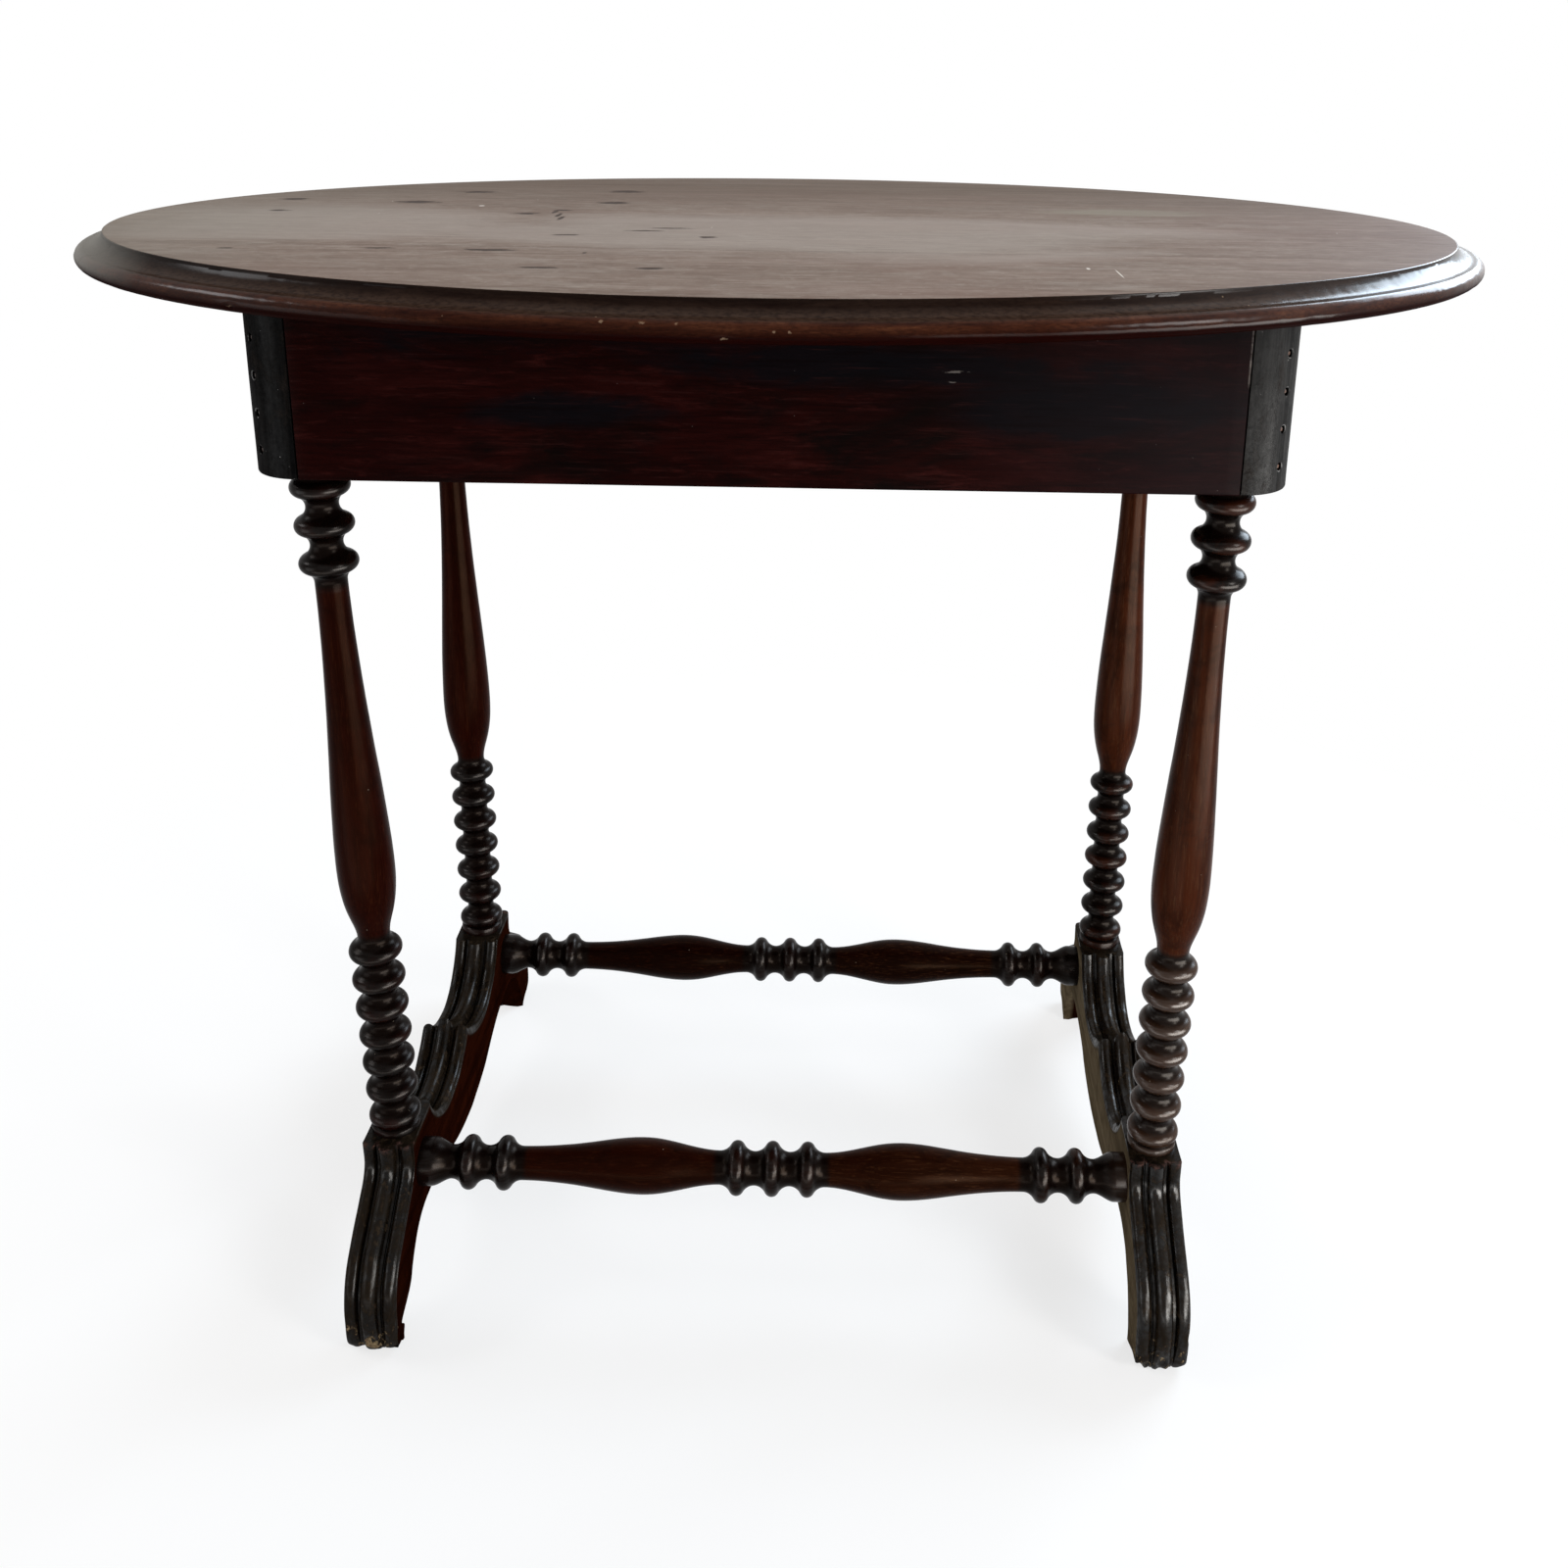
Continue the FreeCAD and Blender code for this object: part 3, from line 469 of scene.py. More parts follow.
def edge_polish():
    """The moulded edge: old dark polish in the cove, dust and painted light on its floor, a rubbed red-brown
    bead, all gone dull at the far left and shining at the right."""
    f = Finish("edge_polish", specular=0.0, coat_roughness=0.2)
    across = f.axis("X")
    height = f.axis("Z")
    bead = f.mark("bead")
    off_underside = f.between(height, 0.7185, 0.7225)
    rubbed = f.cloud((14, 40, 190), 6, 0.68, 0.5)
    fine = f.cloud((260, 420, 900), 4, 0.62)
    colour = f.blend(f.between(rubbed, 0.35, 0.7), (0.007, 0.003, 0.002), (0.026, 0.014, 0.0095))
    # Dust on the cove's lower part, lightened also as painted light where that part faces up.
    dust = f.times(f.between(height, 0.7312, 0.728), f.between(fine, 0.3, 0.6, 0.5, 1.0))
    colour = f.touched(colour, dust, 0.8, (0.045, 0.026, 0.018))
    red_brown = f.blend(f.between(rubbed, 0.34, 0.62), (0.02, 0.0045, 0.0025), (0.07, 0.022, 0.0105))
    colour = f.blend(bead, colour, red_brown)
    colour = f.layered(
        colour,
        (height, 0.724, 0.719, 0.95, (0.01, 0.0009, 0.0007)),
        (fine, 0.55, 0.35, 0.5, (0.006, 0.002, 0.0015)),
    )
    worn = f.times(f.between(rubbed, 0.54, 0.66), f.times(bead, off_underside))
    worn = f.times(worn, f.between(fine, 0.46, 0.66, 0, 0.55))
    colour = f.blend(worn, colour, (0.11, 0.045, 0.02))
    dulled = f.times(f.between(across, -0.33, -0.418), off_underside)
    colour = f.touched(colour, dulled, 0.95, (0.2, 0.19, 0.168))
    ragged = f.between(f.cloud((700, 700, 900), 3), 0.3, 0.7, -0.6, 0.6)
    front = -ARRIS_HALF_DEPTH - 6.0
    chips = [((x, front, z), (0.6 * half, EDGE_MARK_DEPTH, 0.7)) for x, half, _, z in EDGE_CHIPS]
    pale = f.most(f.spots(chips, ragged), f.specks(230, 0.12, 0.02))
    colour = f.touched(colour, pale, 0.5, (0.34, 0.23, 0.15))
    left = f.times(f.between(across, -0.14, -0.27), f.between(bead, 0, 1, 0.06, 0.15))
    right = f.sum(f.between(across, 0.14, 0.27, 0, 0.36), f.between(across, 0.36, 0.43, 0, 0.6))
    shine = f.sum(f.most(left, right), 0.05)
    f.polished(f.times(shine, f.between(height, 0.7185, 0.7235, 0.1, 1.0)))
    rough = f.between(rubbed, 0.3, 0.7, 0.45, 0.65)
    return f.done(colour, rough, f.raised(f.both(fine, 0.5, rubbed, 0.5), 0.14))


def board_polish(name, axis, red):
    """Dark, dull polish over a plank, with near-black smudges where hands have been and, high on the
    left of the front, a painted shadow under the top; the face inside the apron is left sawn."""
    f = Finish(name, specular=0.0, coat=0.02, coat_roughness=0.34)
    across = f.axis("X")
    back = f.axis("Y")
    streaks = f.cloud(along(axis, 60, 5.0), 7, 0.68, 0.8)
    threads = f.cloud(along(axis, 480, 26), 4, 0.64, 0.3)
    figure = f.cloud(along(axis, 32, 8), 6, 0.68, 0.7)
    flecks = f.cloud(along(axis, 210, 34), 5, 0.68, 0.4)
    smudge = f.cloud((9, 9, 22), 6, 0.66, 1.0)
    glow = shade(red, 1.9, 0.002)
    colour = f.blend(f.between(streaks, 0.36, 0.66), shade(red, 0.4), red)
    colour = f.layered(
        colour,
        (figure, 0.48, 0.74, 0.9, glow),
        (flecks, 0.54, 0.7, 0.6, shade(glow, 1.5, 0.002)),
        (smudge, 0.5, 0.64, 0.9, (0.0026, 0.0014, 0.0012)),
    )
    # Smudges, and high on the left a painted shadow under the top's edge.
    smudged_and_shaded = f.spots(on_front(FRONT_SMUDGES_AND_SHADOW), f.between(smudge, 0.3, 0.7, -0.6, 0.6))
    colour = f.touched(colour, smudged_and_shaded, 0.9, (0.0032, 0.003, 0.0042))
    colour = f.layered(
        colour,
        (threads, 0.5, 0.3, 0.75, shade(red, 0.15)),
        (threads, 0.58, 0.72, 0.5, shade(glow, 1.0, 0.006)),
    )
    dim = f.times(f.between(across, 0.1, 0.24, 0, 0.5), f.between(back, 0.0, -0.1))
    colour = f.blend(dim, colour, (0.0038, 0.0028, 0.004))
    ragged = f.between(f.cloud((300, 300, 900), 3), 0.3, 0.7, -0.7, 0.7)
    seam_x, front_y = SEAM_X * MM, -APRON_FRONT * MM
    seam = f.times(
        f.between(across, seam_x - 0.00145, seam_x - 0.00095),
        f.between(f.axis("Z"), 0.661, 0.666),
    )
    seam = f.times(seam, f.between(back, front_y + 0.024, front_y + 0.009))
    seam = f.times(seam, f.between(streaks, 0.4, 0.55))
    pale = f.most(seam, f.spots(on_front(FRONT_KNOCKS), ragged))
    pale = f.most(pale, f.times(f.specks(190, 0.06, 0.05), 0.6))
    colour = f.touched(colour, pale, 0.6, (0.24, 0.21, 0.19))
    sawn = f.blend(f.between(streaks, 0.3, 0.7), (0.07, 0.04, 0.024), (0.16, 0.1, 0.06))
    sawn = f.layered(sawn, (threads, 0.5, 0.34, 0.6, (0.045, 0.025, 0.015)))
    colour = f.blend(f.mark("inside"), colour, sawn)
    rough = f.between(smudge, 0.3, 0.7, 0.6, 0.75)
    return f.done(colour, rough, f.raised(f.both(threads, 0.6, streaks, 0.4), 0.16))


def corner_polish():
    """The corner pieces: nearly black, shinier than the boards, scored up and down, with a painted grey
    sheen on the right where the window lights them."""
    f = Finish("corner_polish", specular=0.0, coat_roughness=0.28)
    scores = f.cloud((300, 300, 11), 5, 0.64, 0.3)
    wear = f.cloud((70, 70, 40), 6, 0.68, 0.6)
    grit = f.cloud((420, 420, 420), 4, 0.64)
    hollow = f.mark("hollow")
    sunny = f.between(f.axis("X"), 0.27, 0.302)
    colour = f.blend(f.between(scores, 0.38, 0.66), (0.0016, 0.0015, 0.0016), (0.0085, 0.0078, 0.0074))
    # Painted sheen: the outer side of the right-hand corners is lightened to grey where the window lights
    # it, broken by darker patches.
    grey = f.times(sunny, f.between(scores, 0.34, 0.62, 0.25, 0.95))
    colour = f.blend(grey, colour, (0.062, 0.061, 0.06))
    rubbed = f.times(sunny, f.between(wear, 0.5, 0.36, 0, 0.8))
    colour = f.blend(rubbed, colour, (0.004, 0.004, 0.004))
    colour = f.layered(colour, (wear, 0.54, 0.68, 0.6, (0.026, 0.02, 0.017)))
    pale = f.most(f.specks(150, 0.09, 0.08), f.times(f.specks(400, 0.12, 0.1), 0.5))
    # Painted glints: pale catches of light on parts of the nail pits' rims.
    painted_pit_glint = f.times(f.between(hollow, 0.01, 0.1), f.between(f.cloud((230, 230, 170), 2), 0.5, 0.58))
    colour = f.touched(colour, f.most(pale, painted_pit_glint), 0.75, (0.3, 0.29, 0.28))
    colour = f.layered(colour, (hollow, 0.12, 0.3, 1.0, (0.0008, 0.0007, 0.0007)))
    shine = f.between(f.sum(wear, f.times(grit, 0.5)), 0.55, 0.95, 0.3, 0.02)
    shine = f.times(shine, f.between(hollow, 0.1, 0.3, 1.0, 0.0))
    f.polished(f.times(shine, f.between(sunny, 0, 1, 0.25, 0.55)))
    rough = f.between(wear, 0.3, 0.7, 0.5, 0.7)
    normal = f.raised(f.both(scores, 0.6, wear, 0.8), 0.5)
    return f.done(colour, rough, f.raised(grit, 0.22, normal))


RING_BLACK = (0.0044, 0.002, 0.0014)


def turned_polish(name, axis, red, brown, sheen, warmth=(1.0, 0.62, 0.38)):
    """Polish on a turning: red on the left going to brown on the right, its lightness there partly
    painted light; nearly black and shinier on the rings, which are rubbed to bronze low on the right front
    leg."""
    f = Finish(name, specular=sheen, coat_roughness=0.26, warmth=warmth)
    across = f.axis("X")
    hollow = f.mark("hollow")
    ringed = f.mark("ringed")
    streaks = f.cloud(along(axis, 170, 8), 7, 0.68, 0.5)
    threads = f.cloud(along(axis, 900, 60), 4, 0.66, 0.2)
    worn = f.cloud((38, 38, 38), 6, 0.66, 0.6)
    # Partly painted light: towards the right the colour is browner and also lighter, as where the window
    # lights it.
    side = f.between(across, -0.12, 0.24)
    vase = f.blend(side, red, brown)
    gold = f.blend(side, (0.036, 0.0085, 0.003), (0.085, 0.034, 0.0145))
    colour = f.layered(
        vase,
        (streaks, 0.6, 0.36, 0.6, shade(red, 0.3)),
        (threads, 0.53, 0.7, 0.6, gold),
        (worn, 0.5, 0.64, 0.55, shade(red, 0.3)),
    )
    black = f.blend(f.between(threads, 0.4, 0.7), shade(RING_BLACK, 0.4), RING_BLACK)
    rubbed = f.times(f.between(worn, 0.46, 0.62), f.between(hollow, 0.6, 0.1))
    black = f.touched(black, rubbed, 0.5, vase)
    bronze = f.times(f.between(across, 0.232, 0.25), f.between(f.axis("Z"), 0.36, 0.3))
    bronze = f.times(bronze, f.between(f.axis("Y"), 0.0, -0.06))
    bronze = f.times(bronze, f.between(hollow, 0.7, 0.1, 0.2, 0.9))
    black = f.blend(bronze, black, (0.036, 0.0165, 0.0085))
    colour = f.blend(ringed, colour, black)
    colour = f.layered(colour, (hollow, 0.5, 1.0, 0.7, (0.003, 0.0012, 0.0009)))
    colour = f.touched(colour, f.specks(210, 0.09, 0.05), 0.65, (0.28, 0.23, 0.17))
    shine = f.sum(f.between(hollow, 0.2, 0.7, 0.15, 0.04), f.times(bronze, 0.34))
    broken = f.between(f.cloud((60, 60, 420), 4, 0.66), 0.36, 0.62, 0.35, 1.3)
    f.polished(f.times(ringed, f.times(shine, broken)))
    rough = f.between(ringed, 0.0, 1.0, 0.26, 0.24)
    rough = f.sum(rough, f.between(worn, 0.3, 0.7, -0.05, 0.07))
    return f.done(colour, rough, f.raised(f.both(threads, 0.1, worn, 0.7), 0.08))


DARK_STAIN = (0.0165, 0.0031, 0.001)


def trestle_polish(name, inner, inner_dark, sheen):
    """Black-brown polish on the reeds, thin stain on the flat faces, bare wood where the toes broke.

    The inner face has its own two colours; the outer face of the right trestle is dark all the same."""
    f = Finish(name, specular=0.0, coat_roughness=0.23)
    hollow = f.mark("hollow")
    face = f.mark("flat_face")
    streaks = f.cloud(along("y", 120, 7), 7, 0.68, 0.6)
    threads = f.cloud(along("y", 500, 24), 4, 0.64, 0.3)
    worn = f.cloud((60, 60, 40), 6, 0.68, 0.6)
    crumbs = f.cloud((230, 230, 160), 5, 0.66, 0.4)
    reed = f.blend(f.between(worn, 0.4, 0.64), (0.0024, 0.0016, 0.001), (0.0135, 0.0088, 0.0052))
    reed = f.layered(reed, (crumbs, 0.54, 0.7, 0.75, (0.044, 0.029, 0.0175)))
    stain = f.blend(f.between(streaks, 0.34, 0.66), inner_dark, inner)
    stain = f.layered(stain, (worn, 0.5, 0.62, 0.6, inner_dark))
    inner_face = (TRESTLE_X - TRESTLE_HALF) * MM
    outer = f.blend(streaks, (0.004, 0.0007, 0.0004), DARK_STAIN)
    stain = f.layered(stain, (f.axis("X"), inner_face + 0.005, inner_face + 0.009, 1.0, outer))
    colour = f.blend(face, reed, stain)
    colour = f.touched(colour, hollow, 0.45, (0.002, 0.0012, 0.0009))
    rim = f.times(f.mark("rim"), f.between(crumbs, 0.46, 0.6))
    colour = f.touched(colour, rim, 0.6, (0.11, 0.055, 0.045))
    raw = f.blend(f.between(threads, 0.4, 0.65), (0.3, 0.22, 0.12), (0.1, 0.055, 0.03))
    chips = f.between(f.sum(crumbs, f.times(f.mark("bare"), 0.25)), 0.71, 0.76)
    colour = f.touched(colour, chips, 0.85, raw)
    colour = f.touched(colour, f.specks(240, 0.09, 0.06), 0.65, (0.28, 0.25, 0.2))
    shine = f.times(f.between(worn, 0.35, 0.65, sheen, 0.05), f.between(crumbs, 0.6, 0.42, 0.4, 1.0))
    f.polished(f.times(f.between(face, 0.0, 0.6, 1.0, 0.0), shine))
    rough = f.between(worn, 0.3, 0.7, 0.45, 0.7)
    return f.done(colour, rough, f.raised(f.both(crumbs, 0.6, worn, 0.4), 0.45))


def raw_wood(name, scale, light, dark):
    """Sawn, unpolished wood out of sight, gone brown with age and dust."""
    f = Finish(name, specular=0.2)
    streaks = f.cloud(scale, 6, 0.64, 0.8)
    sockets = {"Vector": f.stretched((95, 14, 60)), "Scale": 1.0, "Distortion": 4.0, "Detail": 2.0}
    saw = f.add("ShaderNodeTexWave", sockets).outputs["Fac"]
    dust = f.cloud((12, 12, 12), 4, 0.6)
    colour = f.blend(f.between(streaks, 0.3, 0.7), dark, light)
    dusted = tuple((a + b) / 2 for a, b in zip(light, dark))
    colour = f.layered(colour, (dust, 0.45, 0.7, 0.6, dusted))
    rough = f.between(dust, 0.3, 0.7, 0.75, 0.9)
    return f.done(colour, rough, f.raised(f.both(saw, 0.4, streaks, 0.6), 0.3))


def old_iron():
    f = Finish("old_iron", specular=0.5)
    f.shader.inputs["Metallic"].default_value = 0.8
    rust = f.cloud((700, 700, 700), 4, 0.65)
    colour = f.blend(f.between(rust, 0.4, 0.65), (0.05, 0.048, 0.046), (0.07, 0.028, 0.014))
    rough = f.between(rust, 0.3, 0.7, 0.5, 0.8)
    return f.done(colour, rough, f.raised(rust, 0.1))


# Top


FLAT, EDGE, UNDERSIDE = range(3)


def edge_section():
    """(offset from the arris, height, bead mark) from the underside up to the flat."""
    bead_offset = EDGE_WIDTH - BEAD_RADIUS
    bead_middle = TOP_UNDERSIDE + BEAD_RADIUS
    low = math.radians(BEAD_LOW_ANGLE)
    foot = bead_offset + BEAD_RADIUS * math.cos(low)
    section = [(-60.0, TOP_UNDERSIDE, 1), (foot - 3, TOP_UNDERSIDE, 1), (foot, TOP_UNDERSIDE, 1)]
    for angle in np.linspace(-low, math.pi / 2, 22):
        point = bead_offset + BEAD_RADIUS * math.cos(angle), bead_middle + BEAD_RADIUS * math.sin(angle)
        section.append((*point, 1 - float(step_up(angle, 0.9, 1.5))))
    bead_top = bead_middle + BEAD_RADIUS
    fall = TABLE_HEIGHT - QUIRK_DEPTH - bead_top
    cove_radius = (bead_offset**2 + fall**2) / (2 * fall)
    for angle in np.linspace(0, math.asin(bead_offset / cove_radius), 16)[1:]:
        offset = bead_offset - cove_radius * math.sin(angle)
        section.append((offset, bead_top + cove_radius * (1 - math.cos(angle)), 0))
    section += [
        (0.0, TABLE_HEIGHT - 0.9, 0),
        (-0.15, TABLE_HEIGHT - 0.35, 0),
        (-0.6, TABLE_HEIGHT - 0.06, 0),
        (-1.3, TABLE_HEIGHT, 0),
        (-20.0, TABLE_HEIGHT, 0),
    ]
    return np.array(section)


def moulded_top():
    """The whole oval with its edge, before it is parted into boards."""
    section = edge_section()
    turn = np.linspace(0, 2 * math.pi, 1500, endpoint=False)
    flat = np.stack([ARRIS_HALF_LENGTH * np.cos(turn), ARRIS_HALF_DEPTH * np.sin(turn)], axis=-1)
    out = np.stack([np.cos(turn) / ARRIS_HALF_LENGTH, np.sin(turn) / ARRIS_HALF_DEPTH], axis=-1)
    out /= np.linalg.norm(out, axis=-1, keepdims=True)
    rings = np.zeros((len(section), len(turn), 3))
    rings[..., :2] = flat + out * section[:, None, :1]
    rings[..., 2] = section[:, None, 1]
    inward = 0.25 * lumps(rings, 14.0, 3) + 0.12 * lumps(rings, 4.0, 4)
    for place, half_width, depth, height in EDGE_CHIPS:
        reach = ((rings[..., 0] - place) / half_width) ** 2 + ((rings[..., 2] - height) / 1.6) ** 2
        ragged = 1 + 0.5 * lumps(rings, 2.5, 5)
        inward = inward - np.where(rings[..., 1] < 0, depth * np.exp(-reach * ragged), 0.0)
    on_edge = (section[:, 0] > -0.5) & (section[:, 0] > 0.1 - section[:, 2])
    inward = np.minimum(inward, 0.05) * on_edge[:, None]
    rings[..., :2] += out * inward[..., None]
    bands = np.full(len(section) + 1, EDGE)
    bands[:2] = UNDERSIDE
    bands[-3:] = FLAT
    return skinned("top", rings, TOP_SHARP_ANGLE, bands, bead=section[:, None, 2], board=0.0)


def make_top():
    """The oval parted at its glue lines into the front, middle and rear boards."""
    whole = moulded_top()
    finishes = [None] * 3
    finishes[FLAT] = dusty_flat()
    finishes[EDGE] = edge_polish()
    light, dark = (0.1, 0.06, 0.036), (0.045, 0.026, 0.016)
    finishes[UNDERSIDE] = raw_wood("top_underside", along("x", 60, 2.5), light, dark)
    half = JOINT_GAP / 2
    strips = (
        ("front", None, -BOARD_JOINT - half),
        ("middle", -BOARD_JOINT + half, BOARD_JOINT - half),
        ("rear", BOARD_JOINT + half, None),
    )
    for number, (name, low, high) in enumerate(strips):
        work = bmesh.new()
        work.from_mesh(whole)
        for line, way in ((low, -1), (high, 1)):
            if line is None:
                continue
            cut = bmesh.ops.bisect_plane(
                work,
                geom=work.verts[:] + work.edges[:] + work.faces[:],
                plane_co=(0, line * MM, 0),
                plane_no=(0, way, 0),
                clear_outer=True,
            )
            rim = [item for item in cut["geom_cut"] if isinstance(item, bmesh.types.BMEdge)]
            bmesh.ops.contextual_create(work, geom=rim)
        bmesh.ops.triangulate(work, faces=[face for face in work.faces if len(face.verts) > 4])
        mesh = bpy.data.meshes.new("top_board_" + name)
        work.to_mesh(mesh)
        work.free()
        mesh.attributes["board"].data.foreach_set("value", [float(number)] * len(mesh.vertices))
        finish_mesh(mesh, TOP_SHARP_ANGLE)
        board = piece_of("top_board_" + name + "_dressed", mesh, finishes)
        seat(board, "top_wood", "top_board_" + name)
    bpy.data.meshes.remove(whole)


# Apron


def eased_outline(width, height, ease, steps):
    """A rectangle about its middle with rounded corners and points along its sides."""
    half = np.array([width / 2, height / 2])
    points = []
    for number in range(4):
        start = math.pi / 2 * number
        sign = np.sign([math.cos(start + 0.7), math.sin(start + 0.7)])
        middle = sign * (half - ease)
        for angle in np.linspace(start, start + math.pi / 2, 5):
            points.append(middle + ease * np.array([math.cos(angle), math.sin(angle)]))
    outline = []
    for here, there in zip(points, points[1:] + points[:1]):
        gap = np.linalg.norm(there - here)
        parts = max(1, round(gap / steps))
        outline += [here + (there - here) * k / parts for k in range(parts)]
    return np.array(outline)


def eased_inset(from_end, ease):
    """How far a rounded edge draws a piece in, at a distance from its end."""
    return ease * (1 - math.sqrt(max(0.0, 1 - (1 - min(1.0, from_end / ease)) ** 2)))


def plank(name, long_axis, low, high, seed):
    """A hand-planed board between two corners, its edges eased and its faces not quite flat."""
    low, high = np.array(low, float), np.array(high, float)
    size = high - low
    middle = (low + high) / 2
    length = size[long_axis]
    wide, tall = [axis for axis in range(3) if axis != long_axis]
    near_end = 0.3 * BOARD_EASE
    body = np.linspace(BOARD_EASE, length - BOARD_EASE, max(12, round(length / 8)))
    places = np.concatenate([[0, near_end], body, [length - near_end, length]])
    rings = []
    for place in places:
        inset = eased_inset(min(place, length - place), BOARD_EASE)
        outline = eased_outline(size[wide] - 2 * inset, size[tall] - 2 * inset, BOARD_EASE, 7.0)
        ring = np.zeros((len(outline), 3))
        ring[:, wide] = middle[wide] + outline[:, 0]
        ring[:, tall] = middle[tall] + outline[:, 1]
        ring[:, long_axis] = low[long_axis] + place
        rings.append(ring)
    count = max(len(ring) for ring in rings)
    rings = np.array([ring for ring in rings if len(ring) == count])
    thin = min((wide, tall), key=lambda axis: size[axis])
    inside = np.where(np.abs(rings[..., thin]) < abs(middle[thin]) - 0.49 * size[thin], 1.0, 0.0)
    rings[..., thin] += 0.15 * lumps(rings, 60.0, seed)
    return skinned(name, rings, APRON_SHARP_ANGLE, inside=inside)


def corner_rings(end, side):
    """A quarter-round corner, its round face pitted over the nails and dented with use."""
    centre = np.array([APRON_END - CORNER_RADIUS, APRON_FRONT - CORNER_RADIUS])
    inside = np.array([APRON_END - APRON_THICKNESS, APRON_FRONT - APRON_THICKNESS])
    angles = np.linspace(0, math.pi / 2, 96)
    heights = np.concatenate(
        [
            [APRON_BOTTOM, APRON_BOTTOM + 0.2],
            np.linspace(APRON_BOTTOM + CORNER_EASE, TOP_UNDERSIDE - CORNER_EASE, 170),
            [TOP_UNDERSIDE - 0.2, TOP_UNDERSIDE],
        ]
    )
    seam = SEAM_GAP / 2
    flat = [
        (centre[0] + seam, inside[1]),
        (inside[0], inside[1]),
        (inside[0], centre[1] + seam),
    ]
    rings = np.zeros((len(heights), len(angles) + len(flat), 3))
    pit = np.zeros(rings.shape[:2])
    for row, height in enumerate(heights):
        from_end = min(height - APRON_BOTTOM, TOP_UNDERSIDE - height)
        radius = CORNER_RADIUS - eased_inset(from_end, CORNER_EASE)
        rings[row, : len(angles), 0] = centre[0] + radius * np.cos(angles)
        rings[row, : len(angles), 1] = centre[1] + radius * np.sin(angles)
        rings[row, len(angles) :, :2] = flat
        rings[row, :, 2] = height
    round_face = rings[:, : len(angles)]
    inward = 0.2 * lumps(round_face * (end, side, 1), 22.0, 11 + end + 3 * side) - 0.2
    for height in NAIL_HEIGHTS:
        across = CORNER_RADIUS * (angles - math.radians(NAIL_ANGLE))
        reach = np.hypot(across[None, :], round_face[..., 2] - height)
        hole = 1 - step_up(reach, 0.7, 3.2)
        inward = inward - NAIL_PIT_DEPTH * hole
        pit[:, : len(angles)] = np.maximum(pit[:, : len(angles)], hole)
    out = np.stack([np.cos(angles), np.sin(angles)], axis=-1)
    round_face[..., :2] += out * inward[..., None]
    rings[:, 0, 1] += seam
    rings[:, len(angles) - 1, 0] += seam
    return rings * (end, side, 1), pit


def make_apron():
    front_finish = board_polish("front_board_polish", "x", (0.017, 0.0018, 0.0013))
    end_finish = board_polish("end_board_polish", "y", (0.018, 0.003, 0.002))
    corner_finish = corner_polish()
    boards = []
    for number, (name, side) in enumerate(SIDES):
        near, far = sorted((side * (APRON_FRONT - APRON_THICKNESS), side * APRON_FRONT))
        low, high = (-SEAM_X, near, APRON_BOTTOM), (SEAM_X, far, TOP_UNDERSIDE)
        boards.append((name, front_finish, 0, low, high, 21 + number))
    for number, (name, end) in enumerate(ENDS):
        near, far = sorted((end * (APRON_END - APRON_THICKNESS), end * APRON_END))
        low, high = (near, -SEAM_Y, APRON_BOTTOM), (far, SEAM_Y, TOP_UNDERSIDE)
        boards.append((name, end_finish, 1, low, high, 31 + number))
    for name, finish, long_axis, low, high, seed in boards:
        mesh = plank("apron_%s_dressed" % name, long_axis, low, high, seed)
        seat(piece_of(mesh.name, mesh, [finish]), "apron_wood", "apron_" + name)
    for end_name, end in ENDS:
        for side_name, side in SIDES:
            rings, pit = corner_rings(end, side)
            name = "corner_%s_%s" % (side_name, end_name)
            mesh = skinned(name + "_dressed", rings, APRON_SHARP_ANGLE, hollow=pit)
            seat(piece_of(mesh.name, mesh, [corner_finish]), "corner_wood", name)


# Turnings


def ring_radius(from_middle, pitch, ring, neck):
    """Radius of a ring at a distance from its middle, with half a neck on either side."""
    depth = ring - neck
    reach = ((pitch / 2) ** 2 + depth**2) / (2 * depth)
    hollow = reach - RING_NOSE_RADIUS
    away = np.abs(from_middle)
    nose = ring - RING_NOSE_RADIUS + np.sqrt(np.maximum(RING_NOSE_RADIUS**2 - away**2, 0))
    trough = neck + hollow - np.sqrt(np.maximum(hollow**2 - (pitch / 2 - away) ** 2, 0))
    return np.where(away < RING_NOSE_RADIUS * pitch / 2 / reach, nose, trough)


def ring_run(middle, shape, low, high, steps=26):
    """Rows of (station, radius, hollow, ringed) over a ring, from low to high of its middle."""
    away = np.linspace(low, high, steps)
    radius = ring_radius(away, *shape)
    hollow = (shape[1] - radius) / (shape[1] - shape[2])
    return np.stack([middle + away, radius, hollow, np.ones(steps)], axis=-1)


